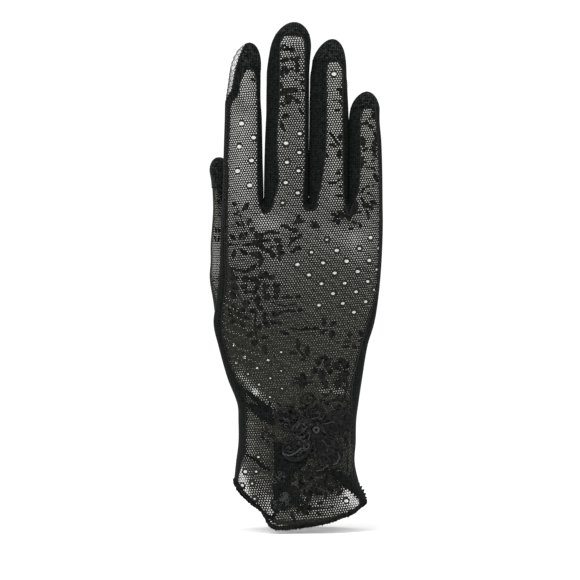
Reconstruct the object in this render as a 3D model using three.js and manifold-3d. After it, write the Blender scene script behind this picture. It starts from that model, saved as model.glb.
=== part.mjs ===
// Black lace dress glove for a right hand, standing as it does on the hand.
// Millimetres. Fingers point up +Z, the back of the hand faces -Y, and the thumb lies towards -X.
// The origin is the middle of the cuff opening, at the height of the hem's lowest point.

import * as THREE from 'three';
import { mergeVertices } from 'three/addons/utils/BufferGeometryUtils.js';
import Module from 'manifold-3d';

const wasm = await Module();
wasm.setup();

// Cloth
const WALL = 1;
const GAP = 0.3;
const SEAM_HALF_GAP = 0.2;

// Facets
const HAND_SIDES = 26;
const FINGER_SIDES = 12;
const HEM_STEPS = 42;
const HEM_SIDES = 6;
const PETAL_STEPS = 5;
const HEART_STEPS = 28;
const RING_CORD_SIDES = 6;
const RING_STEPS = 12;

// Section shapes: a power of 2 is an ellipse, and a higher one is squarer
const HAND_POWER = 2.4;
const FINGER_POWER = 2.2;

// Reach of the cutting shapes past the glove
const FAR = 60;
const BOTTOM = -10;
const ABOVE = 250;
const OPEN_BELOW = 6;
const MERGE_WITHIN = 1e-4;

// Hand from cuff to knuckles: outer edges left and right, and depth in front of and behind the side seams
const HAND = table(['height', 'left', 'right', 'front', 'back'], [
  [0, -28.4, 31.2, 22.5, 21.5],
  [12, -28.9, 31.6, 22, 21],
  [21, -29.1, 28.4, 20.5, 20],
  [31, -28.2, 26.2, 19.5, 19],
  [40, -27.1, 26.7, 19, 18.8],
  [50, -27.1, 26.9, 18.4, 18.6],
  [58, -27.6, 27.9, 17.4, 18.2],
  [70, -32.2, 29.7, 15.6, 17.6],
  [85, -36.4, 32.2, 14.2, 16.8],
  [95, -38.2, 35.2, 13.6, 16],
  [105, -37.4, 36.9, 13.2, 15.2],
  [120, -35.8, 38.4, 12.6, 14],
  [138, -35.3, 39.2, 11.2, 12.4],
  [152, -34.9, 39.2, 9.8, 11],
]);
const HAND_TOP = 152;
const HAND_TOP_ROUND = 15;
const HAND_LEVELS = [45, 52, 60, 69, 80, 92, 106, 122, 137, 145, 149.5, 151.6];

// Cuff frill, from the hem up to where the wrist starts
const FRILL_TOP = 38;
const FRILL_FULL = 6;
const FRILL_STEPS = 3;
const HEM_MIDDLE = 1.4;
const HEM_HALF_WIDTH = 30.2;
const HEM_RADIUS = 1.3;
const WALL_START = 2;
const HEM_FRONT = table(['across', 'height'], [
  [-29, 21.3],
  [-27, 17.2],
  [-22.5, 12.4],
  [-18, 8.9],
  [-15.8, 7],
  [-12.2, 1.2],
  [-5.8, 0.1],
  [1.6, 0.9],
  [9.9, 2.3],
  [18.3, 4.6],
  [25.7, 7.2],
  [31.6, 12],
]);
const HEM_BACK = table(['across', 'height'], [
  [-29, 21.3],
  [-27, 16.4],
  [-22.5, 11],
  [-18, 7.2],
  [-14, 3.6],
  [-10, 0.8],
  [-5.8, 0.1],
  [1.6, 0.2],
  [9.9, 0.9],
  [18.3, 2.8],
  [25.7, 5.4],
  [31.6, 12],
]);

// Waves of the frill: how far the cloth stands out from the cuff's section at the hem.
// The waves lean: one that is at across at the bottom moves by FRILL_LEAN for each millimetre up.
const FRILL_LEAN = 0.3;
const FRILL_FRONT = table(['across', 'out'], [
  [-40, 0],
  [-30, 0],
  [-25, -1.5],
  [-19, -2.8],
  [-16, 2.6],
  [-8, 3],
  [3, 0.8],
  [12, 2.4],
  [20, 0.8],
  [30, 0],
]);
const FRILL_BACK = table(['across', 'out'], [
  [-30, 0],
  [-21, 1.6],
  [-12, -1.2],
  [-2, 2],
  [8, -1],
  [17, 1.8],
  [28, 0],
]);

// Slanting folds in the front of the wrist, from one end to the other
const FOLDS = table(['fromAcross', 'fromHeight', 'toAcross', 'toHeight', 'width', 'depth'], [
  [-30, 68, -11, 50, 3.2, 1.6],
  [-25, 37, -9, 25.5, 2.8, 1.3],
]);

// Fingers: middle line and width by height. A finger's depth is a share of its width.
const FINGER_DEPTH_SHARE = 0.85;
const FINGER_FOOT = 140;
const FINGER_FULL = 158;
const FINGER_FOOT_DEPTH_SHARE = 0.8;
const FINGERS = {
  index: {
    tip: 225.5,
    round: 13,
    laceTop: 213.6,
    rows: table(['height', 'middle', 'width'], [
      [140, -25.3, 18.6],
      [156, -25.2, 18.4],
      [172, -25.2, 17.6],
      [199, -25.1, 16.2],
      [213, -24, 14.6],
      [225.5, -22.3, 13.4],
    ]),
  },
  middle: {
    tip: 235.2,
    round: 13,
    laceTop: 228.2,
    rows: table(['height', 'middle', 'width'], [
      [140, -5.2, 20.1],
      [160, -5.2, 20.1],
      [180, -4.9, 19.8],
      [199, -4.7, 19.7],
      [213, -4.3, 19.2],
      [224, -3, 18.4],
      [235.2, -1.5, 17.6],
    ]),
  },
  ring: {
    tip: 226.9,
    round: 13,
    laceTop: 216.4,
    rows: table(['height', 'middle', 'width'], [
      [140, 14.3, 18],
      [160, 14.3, 17.9],
      [179, 14.5, 17.9],
      [189, 14.7, 17.5],
      [196, 14.7, 17.1],
      [210, 14.6, 15.9],
      [218, 14.8, 15],
      [226.9, 16.2, 13.8],
    ]),
  },
  little: {
    tip: 202.6,
    round: 11,
    laceTop: 193.8,
    rows: table(['height', 'middle', 'width'], [
      [140, 31.4, 15.4],
      [162, 31.35, 15.4],
      [179, 31.25, 14.7],
      [189, 30.9, 13.8],
      [196.6, 31.6, 12.6],
      [202.6, 32.3, 11.6],
    ]),
  },
};
const FINGER_LEVEL_SHARES = [0, 0.14, 0.3, 0.55, 0.78, 1];
const TIP_LEVEL_SHARES = [0.45, 0.78, 0.96];

// Fingers curl a little towards the palm above the knuckles
const CURL_FROM = 135;
const CURL_LENGTH = 100;
const CURL_DEPTH = 8;
const SIDE_LEVELS = [BOTTOM, CURL_FROM, 150, 165, 180, 195, 210, 225, ABOVE];

// Thumb, which lies in front of the palm
const THUMB_TIP = 172;
const THUMB_ROUND = 11;
const THUMB_LACE_TOP = 159.1;
const THUMB_LEVELS = [74, 80, 88, 97, 108, 120, 134, 148, 161];
const THUMB = table(['height', 'across', 'deep', 'halfWidth', 'halfDepth'], [
  [74, -19, 7, 9, 7],
  [84, -24.2, 11, 10.4, 10.8],
  [96, -28.8, 14.6, 9, 11.4],
  [110, -32.6, 18.8, 7.1, 10.2],
  [125, -34.2, 22, 5.8, 9.2],
  [142, -34.7, 24, 5.1, 8.8],
  [160, -34.8, 25.3, 4.8, 8.4],
  [172, -35.9, 26, 4.7, 7.8],
]);

// Seam lines, as seen from the front
const THUMB_BAND_EDGE = table(['height', 'across'], [
  [BOTTOM, -27.6],
  [21, -27.2],
  [31, -25.4],
  [36, -23.6],
  [57.8, -23.5],
  [63.8, -24.4],
  [70.3, -28],
  [76.3, -30.5],
  [85.6, -33.3],
  [94.8, -34.6],
  [101.3, -34.2],
  [113.3, -32.9],
  [138.3, -33.2],
  [156.8, -32.5],
  [172, -31.8],
  [186, -31],
  [199.4, -29.8],
  [213.6, -26.4],
]);
const INDEX_WRAP_EDGE = table(['height', 'across'], [
  [195, -36.4],
  [199.4, -33],
  [213.6, -28.8],
]);
const INDEX_RIGHT = table(['height', 'across'], [
  [145.4, -16],
  [149, -17.6],
  [156, -18.6],
  [190, -18.8],
  [213.6, -19.4],
]);
const MIDDLE_LEFT = table(['height', 'across'], [
  [145.4, -16],
  [152.2, -11.8],
  [160.6, -8.4],
  [179, -9.4],
  [199, -8.3],
  [228.2, -8],
]);
const MIDDLE_RIGHT = table(['height', 'across'], [
  [148.5, 5.3],
  [152, 4],
  [158, 3.2],
  [228.2, 3.2],
]);
const RING_LEFT = table(['height', 'across'], [
  [148.5, 5.3],
  [151, 8.6],
  [158.7, 10.9],
  [172, 12.7],
  [185, 13.4],
  [216.4, 13.4],
]);
const RING_RIGHT = table(['height', 'across'], [
  [144.3, 23.5],
  [150, 21.6],
  [158, 20.9],
  [216.4, 20.6],
]);
const LITTLE_LEFT = table(['height', 'across'], [
  [144.3, 23.5],
  [149, 25.5],
  [156, 28],
  [165, 28.9],
  [193.8, 28.9],
]);
const LITTLE_BAND_EDGE = table(['height', 'across'], [
  [BOTTOM, 28.6],
  [16, 27.8],
  [25, 24.6],
  [41, 25],
  [63.8, 24.6],
  [76.3, 26.8],
  [98, 32.6],
  [110.6, 36.2],
  [138, 37.5],
  [162, 37.4],
  [188, 36.1],
  [193.8, 35.7],
]);

// Middle lines of the gaps between neighbouring fingers, above where their lace ends
const INDEX_MIDDLE_GAP = -15.3;
const MIDDLE_RING_GAP = 6.2;
const RING_LITTLE_GAP = 23.9;
const CROTCH_RISE = 0.7;

// Raised lace flower on the wrist
const FLOWER_ACROSS = 8.6;
const FLOWER_HEIGHT = 45.3;
const PETAL_ROOT = 2.6;
const PETAL_POINT = 0.6;
const PETAL_BLUNTNESS = 0.4;
const PETAL_THICK = 0.9;
const PETAL_LAYER = 0.35;
const PETALS = table(['name', 'direction', 'halfAngle', 'length'], [
  ['flower_petal_lower_right', -62, 35, 19],
  ['flower_petal_lower_left', -137, 33, 18.5],
  ['flower_petal_upper_left', 158, 26, 19.5],
  ['flower_petal_top', 92, 34, 12],
  ['flower_petal_right', 15, 35, 17.5],
]);
const HEART_ACROSS = 3.4;
const HEART_HEIGHT = 44.6;
const HEART_RADIUS = 6.2;
const HEART_SCALLOPS = 7;
const HEART_SCALLOP_DEPTH = 0.8;
const HEART_THICK = 0.8;
const RING_MIDDLE_RADIUS = 1.3;
const RING_CORD_RADIUS = 0.55;
const RING_LIFT = 1.2;

// Plain opaque strip from under the flower down to the hem
const TAIL = table(['across', 'height'], [
  [-10.9, 40],
  [-10.9, 10.6],
  [-6.5, 8.6],
  [-2.6, 11],
  [0.4, 9.4],
  [0.4, 34],
  [2, 40],
]);
const TAIL_THICK = 0.7;
const TAIL_CLEARANCE = 0.5;
const TAIL_CLEARANCE_ANGLE = 2;

// Colours and finish
const NET_COLOUR = 0x1b1c1c;
const PLAIN_COLOUR = 0x0e0f10;
const CORD_COLOUR = 0x1f2122;
const NET_ROUGHNESS = 0.85;
const PLAIN_ROUGHNESS = 0.9;
const CORD_ROUGHNESS = 0.6;
const RING_ROUGHNESS = 0.45;

function table(columns, rows) {
  return rows.map((values) => Object.fromEntries(columns.map((column, place) => [column, values[place]])));
}

// Smooth curve through one column of a table
function readTable(rows, along, column, at) {
  const last = rows.length - 1;
  if (at <= rows[0][along]) {
    return rows[0][column];
  }
  if (at >= rows[last][along]) {
    return rows[last][column];
  }
  const upper = rows.findIndex((row) => row[along] > at);
  const lower = upper - 1;
  const span = rows[upper][along] - rows[lower][along];
  const slope = (place) => {
    const before = rows[Math.max(place - 1, 0)];
    const after = rows[Math.min(place + 1, last)];
    return (span * (after[column] - before[column])) / (after[along] - before[along]);
  };
  const t = (at - rows[lower][along]) / span;
  const rise = t * t * (3 - 2 * t);
  const leave = t * (1 - t) * (1 - t);
  const arrive = t * t * (t - 1);
  const straight = rows[lower][column] * (1 - rise) + rows[upper][column] * rise;
  return straight + slope(lower) * leave + slope(upper) * arrive;
}

function easeBetween(from, to, at) {
  const t = Math.min(Math.max((at - from) / (to - from), 0), 1);
  return t * t * (3 - 2 * t);
}

// Point of a rounded section at an angle, as shares of its half width and depth
function sectionPoint(angle, power) {
  const bulge = (value) => Math.sign(value) * Math.abs(value) ** (2 / power);
  return { across: bulge(Math.cos(angle)), deep: bulge(Math.sin(angle)) };
}

// Share of its full size that a rounded end has at a height
function roundedEnd(end, length, height) {
  const into = Math.min(Math.max((height - end + length) / length, 0), 1);
  return Math.sqrt(1 - into * into);
}

function foldDepth(across, height) {
  let depth = 0;
  for (const fold of FOLDS) {
    const runAcross = fold.toAcross - fold.fromAcross;
    const runHeight = fold.toHeight - fold.fromHeight;
    const length = Math.hypot(runAcross, runHeight);
    const aside = (across - fold.fromAcross) * runHeight - (height - fold.fromHeight) * runAcross;
    const along = (across - fold.fromAcross) * runAcross + (height - fold.fromHeight) * runHeight;
    const share = Math.min(Math.max(along / length ** 2, 0), 1);
    depth += fold.depth * Math.sin(Math.PI * share) * Math.exp(-((aside / length / fold.width) ** 2));
  }
  return depth;
}

// Point of the hand's surface, grown outwards by a distance
function handPoint(angle, height, grow) {
  const section = sectionPoint(angle, HAND_POWER);
  const left = readTable(HAND, 'height', 'left', height) - grow;
  const right = readTable(HAND, 'height', 'right', height) + grow;
  const across = (left + right) / 2 + (section.across * (right - left)) / 2;
  const atFront = section.deep < 0;
  const top = roundedEnd(HAND_TOP + grow, HAND_TOP_ROUND + grow, height);
  const frill = 1 - easeBetween(FRILL_FULL, FRILL_TOP, height);
  const waves = atFront ? FRILL_FRONT : FRILL_BACK;
  const wave = frill * readTable(waves, 'across', 'out', across - FRILL_LEAN * height);
  const dent = atFront ? foldDepth(across, height) : 0;
  const reach = readTable(HAND, 'height', atFront ? 'front' : 'back', height) + wave - dent + grow;
  return [across, section.deep * reach * top + curl(height), height];
}

function curl(height) {
  return CURL_DEPTH * (Math.max(height - CURL_FROM, 0) / CURL_LENGTH) ** 2;
}

function hemHeight(angle) {
  const section = sectionPoint(angle, HAND_POWER);
  const rows = section.deep < 0 ? HEM_FRONT : HEM_BACK;
  return readTable(rows, 'across', 'height', HEM_MIDDLE + HEM_HALF_WIDTH * section.across);
}

function turns(sides) {
  return Array.from({ length: sides }, (_, side) => (2 * Math.PI * side) / sides);
}

function solid(points, triangles) {
  return new wasm.Manifold(
    new wasm.Mesh({
      numProp: 3,
      vertProperties: new Float32Array(points.flat()),
      triVerts: new Uint32Array(triangles.flat()),
    }),
  );
}

// Closed solid through rings of points, from the lowest to the highest
function loft(rings) {
  const sides = rings[0].length;
  const points = rings.flat();
  const triangles = [];
  for (let ring = 0; ring < rings.length - 1; ring += 1) {
    for (let side = 0; side < sides; side += 1) {
      const here = ring * sides + side;
      const beside = ring * sides + ((side + 1) % sides);
      triangles.push([here, beside, beside + sides], [here, beside + sides, here + sides]);
    }
  }
  for (const end of [0, rings.length - 1]) {
    const ring = rings[end];
    const middle = [0, 1, 2].map((axis) => ring.reduce((sum, point) => sum + point[axis], 0) / sides);
    const centre = points.push(middle) - 1;
    for (let side = 0; side < sides; side += 1) {
      const here = end * sides + side;
      const beside = end * sides + ((side + 1) % sides);
      triangles.push(end === 0 ? [centre, beside, here] : [centre, here, beside]);
    }
  }
  return solid(points, triangles);
}

// The hand down into its hem. below lengthens it, so that an inner solid opens the cuff.
function handLoft(grow, below) {
  const angles = turns(HAND_SIDES);
  const wallStart = (angle) => hemHeight(angle) + WALL_START;
  const rings = [];
  if (below > 0) {
    rings.push(
      angles.map((angle) => {
        const [across, deep, height] = handPoint(angle, wallStart(angle), grow);
        return [across, deep, height - below];
      }),
    );
  }
  for (let step = 0; step <= FRILL_STEPS; step += 1) {
    const share = step / FRILL_STEPS;
    rings.push(
      angles.map((angle) => handPoint(angle, wallStart(angle) * (1 - share) + FRILL_TOP * share, grow)),
    );
  }
  for (const level of HAND_LEVELS) {
    rings.push(angles.map((angle) => handPoint(angle, level + (grow * level) / HAND_TOP, grow)));
  }
  return loft(rings);
}

// Thin layer over the hand's surface, from a distance above it
function surfaceLayer(from, thick) {
  return handLoft(from + thick, OPEN_BELOW).subtract(handLoft(from, 2 * OPEN_BELOW));
}

function fingerRing(finger, height, grow) {
  const end = roundedEnd(finger.tip + grow, finger.round + grow, height);
  const halfWidth = readTable(finger.rows, 'height', 'width', height) / 2 + grow;
  const foot = 1 - easeBetween(FINGER_FOOT, FINGER_FULL, height);
  const share = FINGER_DEPTH_SHARE * (1 - foot * (1 - FINGER_FOOT_DEPTH_SHARE));
  const middle = readTable(finger.rows, 'height', 'middle', height);
  return turns(FINGER_SIDES).map((angle) => {
    const section = sectionPoint(angle, FINGER_POWER);
    const deep = section.deep * halfWidth * share * end;
    return [middle + section.across * halfWidth * end, deep + curl(height), height];
  });
}

function fingerLoft(finger, grow) {
  const shoulder = finger.tip - finger.round;
  const straight = FINGER_LEVEL_SHARES.map((share) => FINGER_FOOT + (shoulder - FINGER_FOOT) * share);
  const rounded = TIP_LEVEL_SHARES.map((share) => shoulder + (finger.round + grow) * share);
  return loft([...straight, ...rounded].map((height) => fingerRing(finger, height, grow)));
}

function thumbLoft(grow) {
  const shoulder = THUMB_TIP - THUMB_ROUND;
  const rounded = TIP_LEVEL_SHARES.map((share) => shoulder + (THUMB_ROUND + grow) * share);
  const rings = [...THUMB_LEVELS, ...rounded].map((height) => {
    const end = roundedEnd(THUMB_TIP + grow, THUMB_ROUND + grow, height);
    const read = (column) => readTable(THUMB, 'height', column, height);
    return turns(FINGER_SIDES).map((angle) => [
      read('across') + Math.cos(angle) * (read('halfWidth') + grow) * end,
      read('deep') + Math.sin(angle) * (read('halfDepth') + grow) * end,
      height,
    ]);
  });
  return loft(rings);
}

// Solid with an outline seen from the front, from one depth to another
function prism(outline, from, to) {
  const shape = new THREE.Shape(outline.map(([across, height]) => new THREE.Vector2(across, height)));
  const depth = to - from;
  const geometry = new THREE.ExtrudeGeometry(shape, { depth, bevelEnabled: false, curveSegments: 1 });
  geometry.rotateX(Math.PI / 2);
  geometry.translate(0, to, 0);
  return fromGeometry(geometry);
}

function fromGeometry(geometry) {
  geometry.deleteAttribute('normal');
  geometry.deleteAttribute('uv');
  const merged = mergeVertices(geometry, MERGE_WITHIN);
  return new wasm.Manifold(
    new wasm.Mesh({
      numProp: 3,
      vertProperties: new Float32Array(merged.getAttribute('position').array),
      triVerts: new Uint32Array(merged.getIndex().array),
    }),
  );
}

// Everything in front of the side seams, or behind them, with the seam's gap left out
function sideOfSeams(atFront) {
  const rings = SIDE_LEVELS.map((height) => {
    const seam = curl(height) + (atFront ? -GAP / 2 : GAP / 2);
    const low = atFront ? -FAR : seam;
    const high = atFront ? seam : FAR;
    return [
      [-FAR, low, height],
      [FAR, low, height],
      [FAR, high, height],
      [-FAR, high, height],
    ];
  });
  return loft(rings);
}

// Points of a seam line, moved sideways, in order of height
function line(rows, aside) {
  return rows.map((row) => [row.across + aside, row.height]);
}

function down(points) {
  return [...points].reverse();
}

// Lowers the highest point of a line, where a lace strip stops short of the finger's tip piece
function shortened(points) {
  const [across, height] = points[points.length - 1];
  return [...points.slice(0, -1), [across, height - SEAM_HALF_GAP]];
}

// Outline of a lace panel: hand and four finger strips, between a left and a right side line
function panelOutline(leftSide, rightSide) {
  const inside = SEAM_HALF_GAP;
  return [
    ...leftSide,
    ...down(shortened(line(INDEX_RIGHT, -inside))),
    ...shortened(line(MIDDLE_LEFT, inside)).slice(1),
    ...down(shortened(line(MIDDLE_RIGHT, -inside))),
    ...shortened(line(RING_LEFT, inside)).slice(1),
    ...down(shortened(line(RING_RIGHT, -inside))),
    ...shortened(line(LITTLE_LEFT, inside)).slice(1),
    ...rightSide,
  ];
}

// Outline of the strip round a crotch, up the sides of both fingers
function fourchetteOutline(leftRows, rightRows, gap) {
  const inside = SEAM_HALF_GAP;
  const crotch = [leftRows[0].across, leftRows[0].height + CROTCH_RISE];
  const left = shortened(line(leftRows, inside)).slice(1);
  const right = shortened(line(rightRows, -inside)).slice(1);
  const leftTop = left[left.length - 1][1];
  const rightTop = right[right.length - 1][1];
  return [crotch, ...right, [gap, rightTop], [gap, leftTop], ...down(left)];
}

function rectangle(left, right, low, high) {
  return [
    [left, low],
    [right, low],
    [right, high],
    [left, high],
  ];
}

function petalOutline(petal, grow) {
  const radians = Math.PI / 180;
  const half = petal.halfAngle * radians;
  const points = [];
  for (let step = -PETAL_STEPS; step <= PETAL_STEPS; step += 1) {
    const share = step / PETAL_STEPS;
    const angle = petal.direction * radians + half * share;
    const reach = petal.length + grow - PETAL_ROOT;
    const radius = PETAL_ROOT + reach * Math.cos((Math.PI / 2) * share) ** PETAL_BLUNTNESS;
    points.push([FLOWER_ACROSS + radius * Math.cos(angle), FLOWER_HEIGHT + radius * Math.sin(angle)]);
  }
  const direction = petal.direction * radians;
  points.push([
    FLOWER_ACROSS + PETAL_POINT * Math.cos(direction),
    FLOWER_HEIGHT + PETAL_POINT * Math.sin(direction),
  ]);
  return points;
}

function heartOutline() {
  return turns(HEART_STEPS).map((angle) => {
    const radius = HEART_RADIUS - HEART_SCALLOP_DEPTH * Math.abs(Math.sin((HEART_SCALLOPS * angle) / 2));
    return [HEART_ACROSS + radius * Math.cos(angle), HEART_HEIGHT + radius * Math.sin(angle)];
  });
}

// Rolled hem: a cord that follows the cuff's wavy edge all round
function hemRoll(radius) {
  const route = turns(HEM_STEPS).map((angle) => {
    const height = hemHeight(angle) + HEM_RADIUS;
    return new THREE.Vector3(...handPoint(angle, height, -WALL / 2));
  });
  const rings = route.map((point, step) => {
    const ahead = route[(step + 1) % HEM_STEPS];
    const behind = route[(step + HEM_STEPS - 1) % HEM_STEPS];
    const along = ahead.clone().sub(behind).normalize();
    const outwards = along.clone().cross(new THREE.Vector3(0, 0, 1)).normalize();
    const upwards = outwards.clone().cross(along).normalize();
    return turns(HEM_SIDES).map((angle) =>
      point
        .clone()
        .addScaledVector(outwards, radius * Math.cos(angle))
        .addScaledVector(upwards, radius * Math.sin(angle))
        .toArray(),
    );
  });
  const triangles = [];
  for (let step = 0; step < HEM_STEPS; step += 1) {
    for (let side = 0; side < HEM_SIDES; side += 1) {
      const here = step * HEM_SIDES + side;
      const beside = step * HEM_SIDES + ((side + 1) % HEM_SIDES);
      const ahead = ((step + 1) % HEM_STEPS) * HEM_SIDES + side;
      const aheadBeside = ((step + 1) % HEM_STEPS) * HEM_SIDES + ((side + 1) % HEM_SIDES);
      triangles.push([here, aheadBeside, beside], [here, ahead, aheadBeside]);
    }
  }
  return solid(rings.flat(), triangles);
}

function toGeometry(piece) {
  const mesh = piece.getMesh();
  const points = new Float32Array(mesh.vertProperties);
  const geometry = new THREE.BufferGeometry();
  geometry.setAttribute('position', new THREE.BufferAttribute(points, 3));
  geometry.setIndex(new THREE.BufferAttribute(new Uint32Array(mesh.triVerts), 1));
  geometry.computeVertexNormals();
  return geometry;
}

const glove = new THREE.Group();

function addPiece(name, piece, colour, roughness) {
  const material = new THREE.MeshStandardMaterial({ color: colour, roughness, metalness: 0 });
  const mesh = new THREE.Mesh(toGeometry(piece), material);
  mesh.name = name;
  glove.add(mesh);
}

function addNet(name, piece) {
  addPiece(name, piece, NET_COLOUR, NET_ROUGHNESS);
}

function addPlain(name, piece) {
  addPiece(name, piece, PLAIN_COLOUR, PLAIN_ROUGHNESS);
}

// Hollow hand and fingers
const fingerNames = Object.keys(FINGERS);
const handOuter = handLoft(0, 0);
const outer = fingerNames.reduce((sum, name) => sum.add(fingerLoft(FINGERS[name], 0)), handOuter);
const inner = fingerNames.reduce(
  (sum, name) => sum.add(fingerLoft(FINGERS[name], -WALL)),
  handLoft(-WALL, OPEN_BELOW),
);
const thumbRoom = thumbLoft(GAP);
const shell = outer.subtract(inner);
const handShell = shell.subtract(thumbRoom).subtract(hemRoll(HEM_RADIUS + GAP));

// Hollow thumb, open where it leaves the palm
const thumbShell = thumbLoft(0).subtract(thumbLoft(-WALL)).subtract(handLoft(GAP, OPEN_BELOW));

// Lace panels
const backOutline = panelOutline(
  shortened(line(THUMB_BAND_EDGE, SEAM_HALF_GAP)),
  down(shortened(line(LITTLE_BAND_EDGE, -SEAM_HALF_GAP))),
);
const palmOutline = panelOutline(
  [
    [-FAR, BOTTOM],
    [-FAR, FINGERS.index.laceTop - SEAM_HALF_GAP],
  ],
  [
    [FAR, FINGERS.little.laceTop - SEAM_HALF_GAP],
    [FAR, BOTTOM],
  ],
);
const wrapLine = shortened(line(INDEX_WRAP_EDGE, -SEAM_HALF_GAP));
const wrapOutline = [[-FAR, INDEX_WRAP_EDGE[0].height], ...wrapLine, [-FAR, wrapLine[wrapLine.length - 1][1]]];
const frontSide = sideOfSeams(true);
const backSide = sideOfSeams(false);
const wrap = prism(wrapOutline, -FAR, FAR);
const palmCut = prism(palmOutline, -FAR, FAR).intersect(backSide).add(wrap);
const backShell = handShell.intersect(frontSide);
addNet('lace_back', backShell.intersect(prism(backOutline, -FAR, FAR)));
addNet('lace_palm', handShell.intersect(palmCut));
const thumbLaceOutline = rectangle(-FAR, FAR, BOTTOM, THUMB_LACE_TOP - SEAM_HALF_GAP);
const thumbTipOutline = rectangle(-FAR, FAR, THUMB_LACE_TOP + SEAM_HALF_GAP, ABOVE);
addNet('lace_thumb', thumbShell.intersect(prism(thumbLaceOutline, -FAR, FAR)));

// Strips round the crotches, up the inner sides of the fingers
const crotches = [
  ['fourchette_index_middle', INDEX_RIGHT, MIDDLE_LEFT, INDEX_MIDDLE_GAP],
  ['fourchette_middle_ring', MIDDLE_RIGHT, RING_LEFT, MIDDLE_RING_GAP],
  ['fourchette_ring_little', RING_RIGHT, LITTLE_LEFT, RING_LITTLE_GAP],
];
for (const [name, left, right, gap] of crotches) {
  addPlain(name, handShell.intersect(prism(fourchetteOutline(left, right, gap), -FAR, FAR)));
}

// Side bands
const thumbBandOutline = [
  [-FAR, BOTTOM],
  ...shortened(line(THUMB_BAND_EDGE, -SEAM_HALF_GAP)),
  ...down(shortened(line(INDEX_WRAP_EDGE, SEAM_HALF_GAP))),
  [-FAR, INDEX_WRAP_EDGE[0].height],
];
const littleBandOutline = [
  ...shortened(line(LITTLE_BAND_EDGE, SEAM_HALF_GAP)),
  [FAR, FINGERS.little.laceTop - SEAM_HALF_GAP],
  [FAR, BOTTOM],
];
addPlain('band_thumb_side', backShell.intersect(prism(thumbBandOutline, -FAR, FAR)));
addPlain('band_little_side', backShell.intersect(prism(littleBandOutline, -FAR, FAR)));

// Finger tips
const tipSides = {
  index: [-FAR, INDEX_MIDDLE_GAP],
  middle: [INDEX_MIDDLE_GAP, MIDDLE_RING_GAP],
  ring: [MIDDLE_RING_GAP, FAR],
  little: [RING_LITTLE_GAP, FAR],
};
for (const name of fingerNames) {
  const finger = FINGERS[name];
  const [left, right] = tipSides[name];
  const top = rectangle(left, right, finger.laceTop + SEAM_HALF_GAP, ABOVE);
  addPlain(`tip_${name}`, handShell.intersect(prism(top, -FAR, FAR)));
}
addPlain('tip_thumb', thumbShell.intersect(prism(thumbTipOutline, -FAR, FAR)));

// Hem
addPlain('hem_roll', hemRoll(HEM_RADIUS));

// Flower: petals on the lace, its heart on them, and a small cord ring on top
const petalLayer = surfaceLayer(PETAL_LAYER, PETAL_THICK);
for (const petal of PETALS) {
  const piece = petalLayer.intersect(prism(petalOutline(petal, 0), -FAR, 0));
  addPiece(petal.name, piece, CORD_COLOUR, CORD_ROUGHNESS);
}
const heartFrom = PETAL_LAYER + PETAL_THICK + GAP;
const heartLayer = surfaceLayer(heartFrom, HEART_THICK);
addPiece('flower_heart', heartLayer.intersect(prism(heartOutline(), -FAR, 0)), CORD_COLOUR, CORD_ROUGHNESS);

// Depth of the front surface at a place, for what sits on it
function frontDepth(across, height) {
  const left = readTable(HAND, 'height', 'left', height);
  const right = readTable(HAND, 'height', 'right', height);
  const share = (2 * across - left - right) / (right - left);
  return readTable(HAND, 'height', 'front', height) * (1 - Math.abs(share) ** HAND_POWER) ** (1 / HAND_POWER);
}

const ring = new THREE.TorusGeometry(RING_MIDDLE_RADIUS, RING_CORD_RADIUS, RING_CORD_SIDES, RING_STEPS);
ring.rotateX(Math.PI / 2);
const ringDepth = frontDepth(FLOWER_ACROSS, FLOWER_HEIGHT) + heartFrom + HEART_THICK + RING_LIFT;
ring.translate(FLOWER_ACROSS, -ringDepth, FLOWER_HEIGHT);
addPiece('flower_ring', fromGeometry(ring), CORD_COLOUR, RING_ROUGHNESS);

// Strip below the flower, clear of the petals
const tailOutline = TAIL.map((row) => [row.across, row.height]);
const tailLayer = surfaceLayer(PETAL_LAYER, TAIL_THICK);
const petalRoom = PETALS.reduce((sum, petal) => {
  const wider = { ...petal, halfAngle: petal.halfAngle + TAIL_CLEARANCE_ANGLE };
  const room = prism(petalOutline(wider, TAIL_CLEARANCE), -FAR, 0);
  return sum ? sum.add(room) : room;
}, null);
addPlain('ribbon_tail', tailLayer.intersect(prism(tailOutline, -FAR, 0)).subtract(petalRoom));

export default glove;
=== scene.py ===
# Black lace dress glove, seen from the back of the hand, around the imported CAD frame.
# Lengths are millimetres until a mesh is made. Fingers point up +Z, the back of the hand faces -Y.

import math

import bpy
import numpy as np
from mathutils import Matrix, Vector


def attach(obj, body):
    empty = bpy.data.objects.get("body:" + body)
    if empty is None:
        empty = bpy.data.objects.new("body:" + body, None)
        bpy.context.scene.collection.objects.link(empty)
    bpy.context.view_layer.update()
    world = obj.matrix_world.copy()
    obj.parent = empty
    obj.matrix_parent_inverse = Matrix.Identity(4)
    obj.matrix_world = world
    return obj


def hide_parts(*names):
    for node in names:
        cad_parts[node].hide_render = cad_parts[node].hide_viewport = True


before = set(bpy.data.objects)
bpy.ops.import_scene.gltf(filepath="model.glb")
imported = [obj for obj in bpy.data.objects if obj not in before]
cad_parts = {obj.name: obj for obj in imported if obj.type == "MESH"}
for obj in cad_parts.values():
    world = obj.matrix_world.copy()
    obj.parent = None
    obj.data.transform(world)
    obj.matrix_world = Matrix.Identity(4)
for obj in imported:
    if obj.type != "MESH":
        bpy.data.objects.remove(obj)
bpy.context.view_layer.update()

MM = 0.001
FRONT, BACK = -1, 1


def table(columns, rows):
    """Named columns of a short table."""
    return dict(zip(columns.split(), np.array(rows, float).T))


def turns(count):
    """Angles of a full turn, evenly spaced."""
    return np.linspace(0, 2 * np.pi, count, endpoint=False)


def direction(angle):
    return np.stack([np.cos(angle), np.sin(angle)], -1)


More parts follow.
